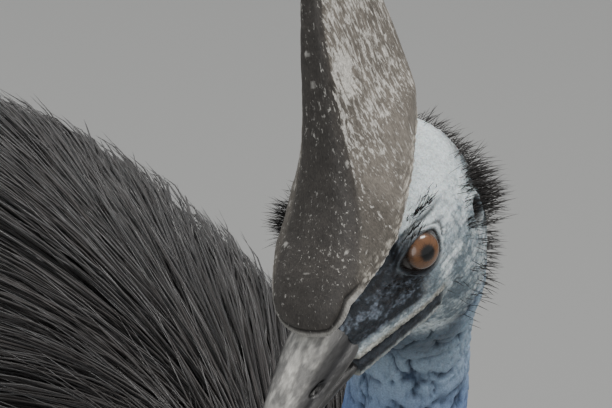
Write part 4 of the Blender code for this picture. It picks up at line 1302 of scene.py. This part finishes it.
def build_plumage(sizes, colours, look, core):
    """The coat in pieces: long drooping strands in tufts over the whole body."""
    rng = np.random.default_rng(5)
    tree = tree_of(core)
    roots, places = body_roots(rng, sizes.coat_spacing)
    legs = np.zeros(len(roots), bool)
    for side in (1, -1):
        x, y = side * FEET_APART / 2 * 0.92, 0.125 - side * STRIDE * 0.7 + SHIFT[1]
        legs |= (roots[:, 2] < 0.66) & (np.abs(roots[:, 0] - x) < 0.075) & (np.abs(roots[:, 1] - y) < 0.105)
    roots, places = roots[~legs], places[~legs]
    back = roots[:, 1] - SHIFT[1]
    lie = LIE + np.stack([0.30 * roots[:, 0] / 0.236, 0 * back, 0 * back], -1)
    drift = [share * hills(roots, 0.12, seed) for share, seed in ((1.0, 81), (0.5, 82), (0.5, 83))]
    lie = lie + 0.22 * np.stack(drift, -1)
    fore = blend(back, -0.20, -0.34)
    aft = blend(back, 0.44, 0.60)
    lengths = sizes.coat_length * rng.uniform(0.85, 1.12, len(roots)) * (1 - 0.40 * fore) * (1 - 0.50 * aft)
    lie = lie + aft[:, None] * np.array((0.0, -0.55, -0.30))
    rise = COAT_DEPTH * rng.uniform(0.15, 0.92, len(roots)) * (1 - 0.5 * aft)
    paths, ups = guide_paths(tree, roots, lie, lengths, rise)
    tone = np.array(colours.coat) * (1 + 0.5 * hills(roots, 0.05, 84, 2))[:, None]
    order = np.argsort(back, kind="stable")
    for n, part in enumerate(np.array_split(order, COAT_PIECES)):
        made = strands(
            f"plumage_{n + 1}",
            paths[part],
            ups[part],
            places[part],
            rng,
            look,
            sizes.strands_in_tuft,
            TUFT_SPREAD,
            sizes.strand_width,
            tone[part],
        )
        finish_piece(made, "plumage")


def build_collar(colours, look, core):
    """Shorter plumage up the root of the neck, and over the thighs."""
    rng = np.random.default_rng(6)
    tree = tree_of(core)
    roots, places, lies, lengths, rises = [], [], [], [], []
    table = collar_table(SHORT_COAT_DEPTH, 26)
    for i, row in enumerate(table):
        number = int(2 * math.pi * row[6] / SHORT_SPACING)
        turn = staggered(i, number, rng)
        roots.append(ring_points(row[None], turn)[0])
        places.append(on_map(turn, 0.9 + 0.1 * i / len(table)))
        lies.append(np.tile(LIE, (number, 1)) + rng.normal(0, 0.15, (number, 3)))
        lengths.append(rng.uniform(0.055, 0.085, number) + 0.06 * (1 - i / len(table)))
        rises.append(rng.uniform(0.002, 0.012, number))
    paths, ups = guide_paths(tree, *map(np.concatenate, (roots, lies, lengths, rises)))
    tone = np.array(colours.coat) * 0.9 * rng.uniform(0.7, 1.3, (len(paths), 1))
    places = np.concatenate(places)
    collar = strands("plumage_collar", paths, ups, places, rng, look, tones=tone, **SHORT_TUFTS)
    finish_piece(collar, "plumage")
    for side, name in ((1, "left"), (-1, "right")):
        table = thigh_table(side, SHORT_COAT_DEPTH, 34)[10:]
        roots, places = [], []
        for i, row in enumerate(table):
            number = int(2 * math.pi * max(row[6], -row[4]) / SHORT_SPACING)
            turn = staggered(i, number, rng)
            roots.append(ring_points(row[None], turn)[0])
            places.append(on_map(turn, i / len(table)))
        roots = np.concatenate(roots)
        count = len(roots)
        low = blend(roots[:, 2], 0.60, 0.49)
        lengths = rng.uniform(0.075, 0.105, count) * (1 - 0.65 * low)
        lie = np.tile((0.0, 0.15, -1.0), (count, 1)) + rng.normal(0, 0.12, (count, 3))
        rises = rng.uniform(0.002, 0.012, count) * (1 - 0.7 * low)
        paths, ups = guide_paths(tree, roots, lie, lengths, rises)
        tone = np.array(colours.coat) * 0.9 * rng.uniform(0.7, 1.3, (count, 1))
        places = np.concatenate(places)
        made = strands(f"plumage_thigh_{name}", paths, ups, places, rng, look, tones=tone, **SHORT_TUFTS)
        finish_piece(made, "plumage")


# Legs, feet and claws

SHANK_SECTIONS = (
    # distance back, height, half depth and half width
    (0.1880, 0.4800, 0.0260, 0.0240),
    (0.2020, 0.4500, 0.0290, 0.0270),
    (0.2090, 0.4280, 0.0340, 0.0320),
    (0.2050, 0.4020, 0.0330, 0.0310),
    (0.1950, 0.3720, 0.0260, 0.0235),
    (0.1820, 0.3300, 0.0225, 0.0185),
    (0.1560, 0.2400, 0.0210, 0.0175),
    (0.1300, 0.1500, 0.0220, 0.0190),
    (0.1140, 0.0950, 0.0260, 0.0235),
    (0.1050, 0.0600, 0.0300, 0.0280),
)
PAD_SECTIONS = (
    # height, half depth and half width
    (0.0005, 0.0300, 0.0360),
    (0.0120, 0.0380, 0.0410),
    (0.0300, 0.0370, 0.0380),
    (0.0460, 0.0330, 0.0330),
    (0.0640, 0.0285, 0.0275),
)
TOES = (
    # name, turn outward in degrees, length to the claw, half width and claw length
    ("middle", 3.0, 0.158, 0.0185, 0.052),
    ("inner", -34.0, 0.088, 0.0165, 0.110),
    ("outer", 36.0, 0.118, 0.0150, 0.040),
)
TOE_SECTIONS = (
    # share of the length, half height and share of the width, with pads between the joints
    (0.000, 0.0210, 0.95),
    (0.300, 0.0185, 1.05),
    (0.500, 0.0150, 0.92),
    (0.720, 0.0150, 1.02),
    (0.900, 0.0115, 0.86),
    (1.000, 0.0085, 0.66),
)
CLAW_SECTIONS = (
    # share of the length, height, half height and half width
    (0.00, 0.0110, 0.0078, 0.0062),
    (0.25, 0.0125, 0.0078, 0.0064),
    (0.50, 0.0120, 0.0062, 0.0050),
    (0.75, 0.0085, 0.0040, 0.0034),
    (1.00, 0.0020, 0.0012, 0.0010),
)
CLAW_ROOT = 0.012
PLATE = 0.0150  # height of one front plate of the shank
TOE_PLATE = 0.0082
ROWS_ON_SHANK = 90
AROUND_SHANK = 48
AROUND_TOE = 40
AROUND_CLAW = 36
LEG_DETAIL = 0.0019  # grain of the one skin over a leg's tubes


def section_table(centres, dorsal, sideways, square=1.0):
    """A table of sections from their middles and half axes."""
    table = np.zeros((len(centres), 11))
    table[:, 0:3] = centres
    table[:, 3:6] = dorsal
    table[:, 6:9] = sideways
    table[:, 10] = square
    return table


def toe_axes(side, turn):
    """Where a toe starts, the way it points and the way across it."""
    start = np.array((side * FEET_APART / 2, FOOT_BACK - side * STRIDE, 0.0)) + SHIFT * (1, 1, 0)
    angle = math.radians(turn) * side
    along = np.array((math.sin(angle), -math.cos(angle), 0.0))
    across = np.array((math.cos(angle), math.sin(angle), 0.0))
    return start, along, across


def shank_middle(side, height):
    """The middle of the shank at a height."""
    back, up = np.array(SHANK_SECTIONS)[::-1, 0:2].T
    return side * FEET_APART / 2 + SHIFT[0], np.interp(height - SHIFT[2], up, back) - side * STRIDE + SHIFT[1]


def leg_scales(points, normals, side):
    """How far the plates and scales stand out at each point, and how deep it lies in the grooves."""
    x, y, z = points.T
    middle_x, middle_y = shank_middle(side, z)
    ahead, aside = middle_y - y, x - middle_x
    front = blend(ahead / np.maximum(np.hypot(ahead, aside), 1e-6), 0.30, 0.52)
    front = front * blend(z, 0.052, 0.062) * blend(z, 0.405, 0.385)
    wander = 0.0012 * hills(points, 0.02, 95)
    phase = ((z + wander) / PLATE) % 1.0
    plates = front
    for _, turn, _, half_width, _ in TOES:
        start, along, across = toe_axes(side, turn)
        out, off = (points - start) @ along, np.abs((points - start) @ across)
        on = blend(off, half_width * 0.95, half_width * 0.6) * blend(out, 0.034, 0.042)
        on = on * blend(normals[:, 2], 0.30, 0.55) * blend(z, 0.050, 0.042)
        phase = np.where(on > plates, (-(out + wander) / TOE_PLATE) % 1.0, phase)
        plates = np.maximum(plates, on)
    groove = hump(np.minimum(phase, 1 - phase), 0.0, 0.07)
    plate_rise = 0.0011 * (1 - phase) ** 0.7 - 0.0010 * groove
    near, after, number = pebbles(points * (1, 1, 0.85), 0.0052, 91)
    between = blend(after - near, 0.22, 0.03)
    rise = plates * plate_rise + (1 - plates) * (0.0006 - 0.0009 * between)
    under = blend(normals[:, 2], -0.5, -0.8) * blend(z, 0.02, 0.01)
    return rise * (1 - under), plates * groove + (1 - plates) * between, number


def scale_finish():
    """Dry leg skin: its kept colour with fine cracks between small scales."""
    made = Finish("leg scales", 0.62, Specular_IOR_Level=0.4)
    place = made.kept("place", "Vector")
    dust = made.noise(place, 260.0, 4.0, 0.6)
    cracks = made.cells(place, 620.0, "DISTANCE_TO_EDGE")
    shade = made.spread(dust, 0.3, 0.7, 0.72, 1.25)
    made.colour(made.shaded(made.kept("tint"), shade))
    made.rough(made.spread(dust, 0.3, 0.7, 0.48, 0.76))
    made.bump(cracks, 0.0004, 0.4)
    made.bump(dust, 0.0005, 0.5)
    return made.material


def claw_finish():
    """Claw and quill horn: its kept colour with grain along its length."""
    made = Finish("claw horn", 0.36, Specular_IOR_Level=0.5)
    place = made.kept("place", "Vector")
    grain = made.noise(made.stretched(place, (0.15, 1.0, 1.0)), 1100.0, 4.0, 0.6)
    shade = made.spread(grain, 0.3, 0.7, 0.72, 1.25)
    made.colour(made.shaded(made.kept("tint"), shade))
    made.rough(made.spread(grain, 0.3, 0.7, 0.26, 0.5))
    made.bump(grain, 0.0004, 0.5)
    return made.material


def build_leg(name, side, colours, look):
    """One skin over shank, hock, foot and toes, with plates in front and small scales elsewhere."""
    rows = read_rows(SHANK_SECTIONS, ROWS_ON_SHANK)
    back, height, deep, wide = (rows[:, k : k + 1] for k in range(4))
    middles = [np.full_like(back, side * FEET_APART / 2), back - side * STRIDE, height]
    middles = np.concatenate(middles, axis=1) + SHIFT
    shank = section_table(middles, deep * (0, -1, -0.25), wide * (1, 0, 0), 0.95)
    start = toe_axes(side, 0)[0]
    rows = read_rows(PAD_SECTIONS, 20)
    middles = start + rows[:, 0:1] * (0, 0, 1)
    pad = section_table(middles, rows[:, 1:2] * (0, -1, 0), rows[:, 2:3] * (1, 0, 0))
    grids = [tube_grid(shank, AROUND_SHANK), tube_grid(pad, AROUND_SHANK)]
    for _, turn, length, half_width, _ in TOES:
        start, along, across = toe_axes(side, turn)
        rows = read_rows(TOE_SECTIONS, 50)
        middles = start + rows[:, 0:1] * length * along + rows[:, 1:2] * (0, 0, 0.86)
        table = section_table(middles, rows[:, 1:2] * (0, 0, 1), rows[:, 2:3] * half_width * across, 0.9)
        grid = tube_grid(table, AROUND_TOE)
        grid[..., 2] = np.maximum(grid[..., 2], 0.0005)
        grids.append(grid)
    thing = tubes_object(name, grids, look)
    one_skin(thing, LEG_DETAIL, 4)
    points, normals = points_of(thing)
    rise, deep, number = leg_scales(points, normals, side)
    shaped = points + normals * rise[:, None]
    shaped[:, 2] = np.maximum(shaped[:, 2], 0.0)
    thing.data.vertices.foreach_set("co", shaped.astype(np.float32).ravel())
    thing.data.update()
    leg = np.array(colours.leg)
    colour = mixed(leg * 0.75, leg * 1.35, number)
    # Painted shade in the grooves between plates and scales
    colour = mixed(colour, leg * 0.30, np.clip(deep, 0, 1) * 0.85)
    colour = mixed(colour, leg * (1.25, 1.15, 1.0), blend(points[:, 2], 0.10, 0.02) * 0.3)
    tint(thing, colour)
    place_marks(thing, points)
    return thing


def build_claws(name, side, colours, look):
    """The three claws of one foot: the inner one long and nearly straight."""
    grids, kept, places = [], [], []
    claw_tone = np.array(colours.claw)
    for _, turn, length, _, claw in TOES:
        start, along, across = toe_axes(side, turn)
        rows = read_rows(CLAW_SECTIONS, 90)
        root = start + along * (length - CLAW_ROOT)
        middles = root + rows[:, 0:1] * (claw + CLAW_ROOT) * along + rows[:, 1:2] * (0, 0, 1)
        own_axes = np.array((along, across, (0, 0, 1))).T
        table = section_table(middles, rows[:, 2:3] * (0, 0, 1), rows[:, 3:4] * across)
        grid = tube_grid(table, AROUND_CLAW)
        grains = hills((grid - root) @ own_axes * (0.12, 1, 1), 0.0022, 97, 2)
        grid = grid + unit(grid - middles[:, None]) * (0.00025 * grains)[..., None]
        grid[..., 2] = np.maximum(grid[..., 2], 0.0004)
        worn = blend(rows[:, 0:1] + 0.12 * grains, 0.05, 0.55)
        kept.append(mixed(claw_tone * 2.4, claw_tone, worn).reshape(-1, 3))
        places.append(((grid - root) @ own_axes).reshape(-1, 3))
        grids.append(grid)
    thing = tubes_object(name, grids, look)
    tint(thing, np.concatenate(kept))
    place_marks(thing, np.concatenate(places))
    return thing


# Wattles and wings

WATTLE_SECTIONS = (
    # share of the length, half width and half thickness
    (0.00, 0.0100, 0.0050),
    (0.25, 0.0120, 0.0060),
    (0.60, 0.0170, 0.0075),
    (0.85, 0.0150, 0.0070),
    (1.00, 0.0040, 0.0020),
)
WATTLE_TOP = (-0.020, -0.383, 1.092)
WATTLE_LENGTH = 0.110
AROUND_WATTLE = 96


def build_wattle(name, side, colours, look):
    """One of the pair of folded lobes that hang from the front of the neck."""
    top = np.array(WATTLE_TOP) + np.array((0.010, -0.005, 0)) * side + SHIFT
    rows = read_rows(WATTLE_SECTIONS, 150)
    share = rows[:, 0:1]
    hang = [0.012 * side * share, -0.022 * np.minimum(share * 4, 1), -WATTLE_LENGTH * share]
    middles = top + np.concatenate(hang, axis=1)
    table = section_table(middles, rows[:, 1:2] * (-0.45, -0.89, 0), rows[:, 2:3] * (0.89, -0.45, 0))
    grid = tube_grid(table, AROUND_WATTLE)
    folds = worm_folds(grid * (1, 1, 0.6), 0.0075, 101)
    fade = blend(share, 1.0, 0.9) * np.ones((1, AROUND_WATTLE))
    grid = grid + grid_normals(grid, middles[:, None]) * (fade * (0.0022 * folds - 0.0014))[..., None]
    thing = tubes_object(name, [grid], look)
    red = np.array(colours.wattle)
    # Painted shade in the creases between the folds, lighter on their tops
    tint(thing, mixed(red * 0.3, red * 1.1, blend(folds + 0.2 * hills(grid, 0.003, 102, 2), 0.0, 0.9)))
    place_marks(thing, grid - top)
    return thing


WING_AT = (0.172, -0.125, 0.866)
QUILLS = 5
QUILL_RADII = (0.0036, 0.0034, 0.0030, 0.0024, 0.0010)

# Points of the first quill as out, back and up, and how far each next quill lies from it
QUILL_PATH = (
    (0.208, -0.125, 0.866),
    (0.240, -0.060, 0.842),
    (0.258, 0.020, 0.815),
    (0.262, 0.090, 0.775),
    (0.258, 0.130, 0.735),
)
QUILL_STEP = (
    (0, 0.0080, -0.004),
    (0, 0, -0.016),
    (0, 0.0025, -0.030),
    (0, 0.0050, -0.036),
    (0, 0.0075, -0.038),
)


def build_wing(name, side, colours, look):
    """The stump of a wing under the coat, with its bare horny quills along the flank."""
    slope = np.linspace(0.02, math.pi - 0.02, 30)[:, None]
    turn = np.linspace(0, 2 * math.pi, 28, endpoint=False)[None, :]
    axes = np.array(((0, 0.050, -0.028), (side * 0.036, 0, 0), (0, 0.011, 0.021)))
    way = [np.cos(slope) + 0 * turn, np.sin(slope) * np.cos(turn), np.sin(slope) * np.sin(turn)]
    grids = [np.array(WING_AT) * (side, 1, 1) + SHIFT + np.stack(way, -1) @ axes]
    shares = [np.zeros(grids[0].shape[:2])]
    for k in range(QUILLS):
        path = (np.array(QUILL_PATH) + k * np.array(QUILL_STEP)) * (side, 1, 1) + SHIFT
        rows = read_rows(np.concatenate([path, np.array(QUILL_RADII)[:, None]], axis=1), 70)
        along = unit(np.gradient(rows[:, :3], axis=0))
        across = unit(np.cross(along, (side, 0, 0)))
        table = section_table(rows[:, :3], np.cross(across, along) * rows[:, 3:4], across * rows[:, 3:4])
        grids.append(tube_grid(table, 14))
        shares.append(np.linspace(0, 1, 70)[:, None] * np.ones((1, 14)))
    thing = tubes_object(name, grids, look)
    share = np.concatenate([one.ravel() for one in shares])
    horn = np.array(colours.claw)
    tint(thing, mixed(horn * 0.5, horn * 3.2, blend(share, 0.02, 0.9)))
    place_marks(thing, np.concatenate([grid.reshape(-1, 3) for grid in grids])[:, [1, 0, 2]])
    return thing


# Bristles on the bare skin

BRISTLES = (
    # middle as forward, out and up; scatter; number; length; the way they lie; and which sides
    ((-0.054, 0.036, -0.012), (0.012, 0.004, 0.020), 420, 0.019, (-0.85, 0.45, -0.15), (1, -1)),
    ((-0.040, 0.036, -0.014), (0.005, 0.004, 0.008), 150, 0.011, (-0.95, 0.30, 0.05), (1, -1)),
    ((-0.002, 0.036, 0.020), (0.018, 0.004, 0.003), 130, 0.008, (-0.55, 0.35, 0.70), (1, -1)),
    ((0.020, 0.034, -0.006), (0.012, 0.004, 0.009), 170, 0.004, (-0.60, 0.60, 0.10), (1, -1)),
    ((0.014, 0.036, 0.012), (0.020, 0.004, 0.014), 340, 0.017, (-0.20, 0.95, 0.10), (-1,)),
    ((-0.074, 0.012, -0.008), (0.010, 0.016, 0.028), 330, 0.015, (-0.90, 0.15, -0.35), (1, -1)),
    ((-0.050, 0.033, -0.060), (0.024, 0.006, 0.030), 160, 0.012, (-0.60, 0.45, -0.60), (1, -1)),
)
BRISTLE_LENGTHS = (0.7, 1.25)


def build_bristles(sizes, colours, look, skin):
    """Short dark hairs: round the ear, over the eye, on the lores, the nape and the cheek."""
    rng = np.random.default_rng(9)
    tree = tree_of(skin)
    paths, ups = [], []
    bend = STRAND_SPOTS[:, None]
    for middle, scatter, number, length, way, sides in BRISTLES:
        for side in sides:
            spots = np.array(middle) + rng.normal(0, 0.6, (number, 3)) * scatter
            for spot in from_head(spots * (1, side, 1)):
                here, normal = tree.find_nearest(Vector(spot))[:2]
                lie = (np.array(way) + rng.normal(0, 0.22, 3)) * (1, side, 1) @ AXES + 0.35 * np.array(normal)
                reach = sizes.bristle_length * length * rng.uniform(*BRISTLE_LENGTHS)
                path = np.array(here) - np.array(normal) * 0.0006 + unit(lie) * reach * bend
                paths.append(path + np.array((0, 0, -0.16 * reach)) * bend**2)
                ups.append(np.tile(normal, (len(STRAND_SPOTS), 1)))
    paths, ups = np.array(paths), np.array(ups)
    tone = np.array(colours.coat) * 0.7 * rng.uniform(0.6, 1.6, (len(paths), 1))
    homes = np.stack([np.linspace(0, 1, len(paths)), np.full(len(paths), 0.5)], -1)
    return strands("bristles", paths, ups, homes, rng, look, 1, 0.0002, 0.00036, tone, 0.0001)


# Camera, floor and light

PICTURE = (612, 408)
HEAD_IN_PICTURE = (363, 236)
FLOOR_CORNERS = 96
FLOOR_REACH = 14.0


def camera_axes(turn, rise):
    """The camera's axes to the right, upward and backward, from its turn and its rise."""
    level = Vector((math.sin(turn), math.cos(turn), 0))
    right = Vector((math.cos(turn), -math.sin(turn), 0))
    toward = -math.cos(rise) * level + math.sin(rise) * Vector((0, 0, 1))
    up = math.sin(rise) * level + math.cos(rise) * Vector((0, 0, 1))
    return right, up, toward


def place_camera(stage):
    """The camera of the photographed view."""
    right, up, toward = camera_axes(stage.turn, stage.height)
    pixel = stage.wide / PICTURE[0]
    aside = (HEAD_IN_PICTURE[0] - PICTURE[0] / 2) * pixel
    above = (PICTURE[1] / 2 - HEAD_IN_PICTURE[1]) * pixel
    data = bpy.data.cameras.new("camera")
    data.sensor_width = 36.0
    data.lens = data.sensor_width * stage.away / stage.wide
    data.clip_end = 60.0
    camera = bpy.data.objects.new("camera", data)
    bpy.context.scene.collection.objects.link(camera)
    turned = Matrix((right, up, toward)).transposed().to_4x4()
    turned.translation = Vector(HEAD) + toward * stage.away - right * aside - up * above
    camera.matrix_world = turned
    bpy.context.scene.camera = camera


def area_light(name, place, aim, size, energy, colour=(1, 1, 1)):
    """A round lamp that shines at a point."""
    data = bpy.data.lights.new(name, "AREA")
    data.shape = "DISK"
    data.size = size
    data.energy = energy
    data.color = colour
    light = bpy.data.objects.new(name, data)
    bpy.context.scene.collection.objects.link(light)
    way = (Vector(place) - Vector(aim)).normalized()
    light.matrix_world = Matrix.Translation(place) @ way.to_track_quat("Z", "Y").to_matrix().to_4x4()
    return light


def build_stage(stage):
    """The pale room, its floor and its three lights."""
    world = bpy.data.worlds.new("pale room")
    bpy.context.scene.world = world
    world.use_nodes = True
    world.node_tree.nodes["Background"].inputs["Color"].default_value = (0.86, 0.88, 0.90, 1)
    world.node_tree.nodes["Background"].inputs["Strength"].default_value = 0.46
    turn = np.linspace(0, 2 * math.pi, FLOOR_CORNERS, endpoint=False)
    points = [[FLOOR_REACH * math.cos(a), FLOOR_REACH * math.sin(a), 0.0] for a in turn]
    floor_look = Finish("pale floor", 0.85)
    floor_look.colour((*stage.floor, 1))
    floor = mesh_object("floor", points, [np.arange(FLOOR_CORNERS)[None, :]], floor_look.material, False)
    head = Vector(HEAD)
    area_light("key", head + Vector((1.2, -0.6, 2.2)), head, 1.2, stage.key, (1.0, 0.98, 0.95))
    area_light("fill", head + Vector((-1.8, -2.0, 1.0)), head, 2.0, stage.fill, (0.94, 0.97, 1.0))
    area_light("rim", head + Vector((0.4, 2.4, 1.6)), head, 1.6, stage.rim)


# The add-on: sizes and colours a user may change, and one operator for each piece


def length_property(name, description, default, least=0.0):
    """A length that a user may change."""
    return FloatProperty(name=name, description=description, default=default, min=least, unit="LENGTH")


def power_property(name, description, default):
    """A light's strength that a user may change."""
    return FloatProperty(name=name, description=description, default=default, min=0.0, unit="POWER")


def angle_property(name, description, degrees):
    """An angle that a user may change."""
    return FloatProperty(name=name, description=description, default=math.radians(degrees), subtype="ANGLE")


def colour_property(name, description, default):
    """A colour that a user may change."""
    limits = {"size": 3, "min": 0.0, "max": 1.0, "subtype": "COLOR"}
    return FloatVectorProperty(name=name, description=description, default=default, **limits)


class CassowarySizes(bpy.types.PropertyGroup):
    """Sizes of the dress."""

    coat_length: length_property("Feather length", "Length of the body's feathers", 0.205, 0.05)
    coat_spacing: length_property("Tuft spacing", "Distance between the roots of two tufts", 0.0142, 0.01)
    strands_in_tuft: IntProperty(
        name="Strands in a tuft", description="Strands that grow from one root", default=8, min=1
    )
    strand_width: length_property("Strand width", "Width of one strand of the coat", 0.0018, 0.0002)
    fold_height: length_property("Neck folds", "Height of the folds of the bare neck", 0.0044)
    scratch_depth: length_property("Scratch depth", "Depth of the worn patches of the casque", 0.0005)
    bristle_length: FloatProperty(
        name="Bristle length",
        description="Length of the head's bristles against the usual one",
        default=1.0,
        min=0.1,
    )


class CassowaryColours(bpy.types.PropertyGroup):
    """Colours of the dress."""

    face: colour_property("Face", "Bare skin of crown and face", FACE)
    cheek: colour_property("Cheek", "Darker skin of the cheek", CHEEK)
    neck_top: colour_property("Upper neck", "Folds of the upper neck", NECK_TOP)
    neck_blue: colour_property("Lower neck", "Folds of the lower neck", NECK_BLUE)
    nape: colour_property("Nape", "Back of the lower neck", NAPE_RED)
    wattle: colour_property("Wattles", "Lobes in front of the neck", (0.42, 0.035, 0.03))
    iris: colour_property("Iris", "Ring of the eye", (0.165, 0.070, 0.025))
    horn: colour_property("Casque", "Sides of the casque", HORN)
    front_shade: colour_property("Casque front", "Dark front band of the casque", FRONT_SHADE)
    scratch: colour_property("Worn patches", "Pale worn patches of the casque", SCRATCH)
    bill: colour_property("Bill", "Sides of the bill", (0.075, 0.073, 0.072))
    coat: colour_property("Plumage", "Feathers and bristles", (0.020, 0.0165, 0.015))
    leg: colour_property("Legs", "Scales of legs and feet", (0.145, 0.135, 0.112))
    claw: colour_property("Claws", "Claws and bare quills", (0.035, 0.031, 0.027))


class CassowaryStage(bpy.types.PropertyGroup):
    """Camera, floor and light."""

    turn: angle_property("Camera turn", "Turn of the camera round the bird", 40)
    height: angle_property("Camera height", "Angle of the camera above the head", 38)
    away: length_property("Camera distance", "Distance from the camera to the head", 1.6, 0.3)
    wide: length_property("Picture width", "Width of the picture at the head", 0.320, 0.05)
    key: power_property("Main light", "Strength of the main light", 64.0)
    fill: power_property("Front light", "Strength of the front light", 18.0)
    rim: power_property("Back light", "Strength of the back light", 42.0)
    floor: colour_property("Floor", "Colour of the floor", (0.40, 0.40, 0.39))


class CASSOWARY_OT_stage(bpy.types.Operator):
    """Places the camera, the floor and the lights"""

    bl_idname = "cassowary.stage"
    bl_label = "Stage"

    def execute(self, context):
        stage = context.scene.cassowary_stage
        place_camera(stage)
        build_stage(stage)
        return {"FINISHED"}


class CASSOWARY_OT_casque(bpy.types.Operator):
    """Builds the casque"""

    bl_idname = "cassowary.casque"
    bl_label = "Casque"

    def execute(self, context):
        made = build_casque(context.scene.cassowary_sizes, context.scene.cassowary_colours)
        finish_piece(made, "casque_horn", "casque")
        return {"FINISHED"}


class CASSOWARY_OT_skin(bpy.types.Operator):
    """Builds the bare skin of head and neck"""

    bl_idname = "cassowary.skin"
    bl_label = "Skin"

    def execute(self, context):
        made = build_skin(context.scene.cassowary_sizes, context.scene.cassowary_colours)
        finish_piece(made, "face_skin", "head", "neck_upper", "neck_middle", "neck_lower")
        return {"FINISHED"}


class CASSOWARY_OT_eyes(bpy.types.Operator):
    """Builds both eyes"""

    bl_idname = "cassowary.eyes"
    bl_label = "Eyes"

    def execute(self, context):
        for side, name in SIDES:
            made = build_eye(f"eyeball_{name}", side, context.scene.cassowary_colours)
            finish_piece(made, "eye", f"eye_{name}")
        return {"FINISHED"}


class CASSOWARY_OT_bill(bpy.types.Operator):
    """Builds both halves of the bill"""

    bl_idname = "cassowary.bill"
    bl_label = "Bill"

    def execute(self, context):
        colours = context.scene.cassowary_colours
        finish_piece(build_bill("upper_bill", BILL_UPPER, -0.35, True, colours), "bill_horn", "bill_upper")
        finish_piece(build_bill("lower_bill", BILL_LOWER, 0.30, False, colours), "bill_horn", "bill_lower")
        return {"FINISHED"}


class CASSOWARY_OT_plumage(bpy.types.Operator):
    """Builds the body's skin and the coat that grows from it"""

    bl_idname = "cassowary.plumage"
    bl_label = "Plumage"

    def execute(self, context):
        sizes, colours = context.scene.cassowary_sizes, context.scene.cassowary_colours
        core = finish_piece(build_core(), "plumage", "torso", "tail", "thigh_left", "thigh_right")
        look = feather_finish("plumage")
        build_plumage(sizes, colours, look, core)
        build_collar(colours, look, core)
        return {"FINISHED"}


class CASSOWARY_OT_legs(bpy.types.Operator):
    """Builds the bare legs, the feet and the claws"""

    bl_idname = "cassowary.legs"
    bl_label = "Legs and claws"

    def execute(self, context):
        colours = context.scene.cassowary_colours
        scales, horn = scale_finish(), claw_finish()
        for side, name in SIDES:
            toes = [f"toe_{toe[0]}_{name}" for toe in TOES]
            claws = [f"claw_{toe[0]}_{name}" for toe in TOES]
            leg = build_leg(f"leg_{name}", side, colours, scales)
            finish_piece(leg, "leg_scale", f"shank_{name}", f"foot_{name}", *toes)
            finish_piece(build_claws(f"claws_{name}", side, colours, horn), "claw_horn", *claws)
        return {"FINISHED"}


class CASSOWARY_OT_wattles(bpy.types.Operator):
    """Builds the two wattles"""

    bl_idname = "cassowary.wattles"
    bl_label = "Wattles"

    def execute(self, context):
        look = skin_finish()
        for side, name in SIDES:
            made = build_wattle(f"lobe_{name}", side, context.scene.cassowary_colours, look)
            finish_piece(made, "wattle_skin", f"wattle_{name}")
        return {"FINISHED"}


class CASSOWARY_OT_wings(bpy.types.Operator):
    """Builds the wing stumps and their quills"""

    bl_idname = "cassowary.wings"
    bl_label = "Wings"

    def execute(self, context):
        look = claw_finish()
        for side, name in SIDES:
            made = build_wing(f"quills_{name}", side, context.scene.cassowary_colours, look)
            finish_piece(made, "quill_horn", f"wing_{name}")
        return {"FINISHED"}


class CASSOWARY_OT_bristles(bpy.types.Operator):
    """Builds the bristles of the head, once its skin is made"""

    bl_idname = "cassowary.bristles"
    bl_label = "Bristles"

    def execute(self, context):
        skin = bpy.data.objects.get("skin")
        if skin is None:
            raise RuntimeError("the skin has to be made before its bristles")
        look = feather_finish("bristle", 0.42, 0.0)
        made = build_bristles(context.scene.cassowary_sizes, context.scene.cassowary_colours, look, skin)
        finish_piece(made, "plumage")
        return {"FINISHED"}


SIDES = ((1, "left"), (-1, "right"))
GROUPS = {
    "cassowary_sizes": CassowarySizes,
    "cassowary_colours": CassowaryColours,
    "cassowary_stage": CassowaryStage,
}
OPERATORS = (
    CASSOWARY_OT_stage,
    CASSOWARY_OT_casque,
    CASSOWARY_OT_skin,
    CASSOWARY_OT_eyes,
    CASSOWARY_OT_bill,
    CASSOWARY_OT_plumage,
    CASSOWARY_OT_legs,
    CASSOWARY_OT_wattles,
    CASSOWARY_OT_wings,
    CASSOWARY_OT_bristles,
)


class CASSOWARY_PT_dress(bpy.types.Panel):
    """Lists the sizes, the colours and the pieces"""

    bl_idname = "CASSOWARY_PT_dress"
    bl_label = "Cassowary dress"
    bl_space_type = "VIEW_3D"
    bl_region_type = "UI"
    bl_category = "Cassowary"

    def draw(self, context):
        for name, group in GROUPS.items():
            box = self.layout.box()
            for value in group.__annotations__:
                box.prop(getattr(context.scene, name), value)
        for operator in OPERATORS:
            self.layout.operator(operator.bl_idname)


def register():
    """Makes the values, the operators and the panel known to Blender."""
    for kind in (*GROUPS.values(), *OPERATORS, CASSOWARY_PT_dress):
        bpy.utils.register_class(kind)
    for name, group in GROUPS.items():
        setattr(bpy.types.Scene, name, PointerProperty(type=group))


def unregister():
    """Takes the values, the operators and the panel out again."""
    for name in GROUPS:
        delattr(bpy.types.Scene, name)
    for kind in (CASSOWARY_PT_dress, *reversed(OPERATORS), *GROUPS.values()):
        bpy.utils.unregister_class(kind)


def main():
    """Builds the whole dress with the add-on's usual values."""
    register()
    bpy.ops.cassowary.stage()
    bpy.ops.cassowary.casque()
    bpy.ops.cassowary.skin()
    bpy.ops.cassowary.eyes()
    bpy.ops.cassowary.bill()
    bpy.ops.cassowary.plumage()
    bpy.ops.cassowary.legs()
    bpy.ops.cassowary.wattles()
    bpy.ops.cassowary.wings()
    bpy.ops.cassowary.bristles()


if __name__ == "__main__":
    main()
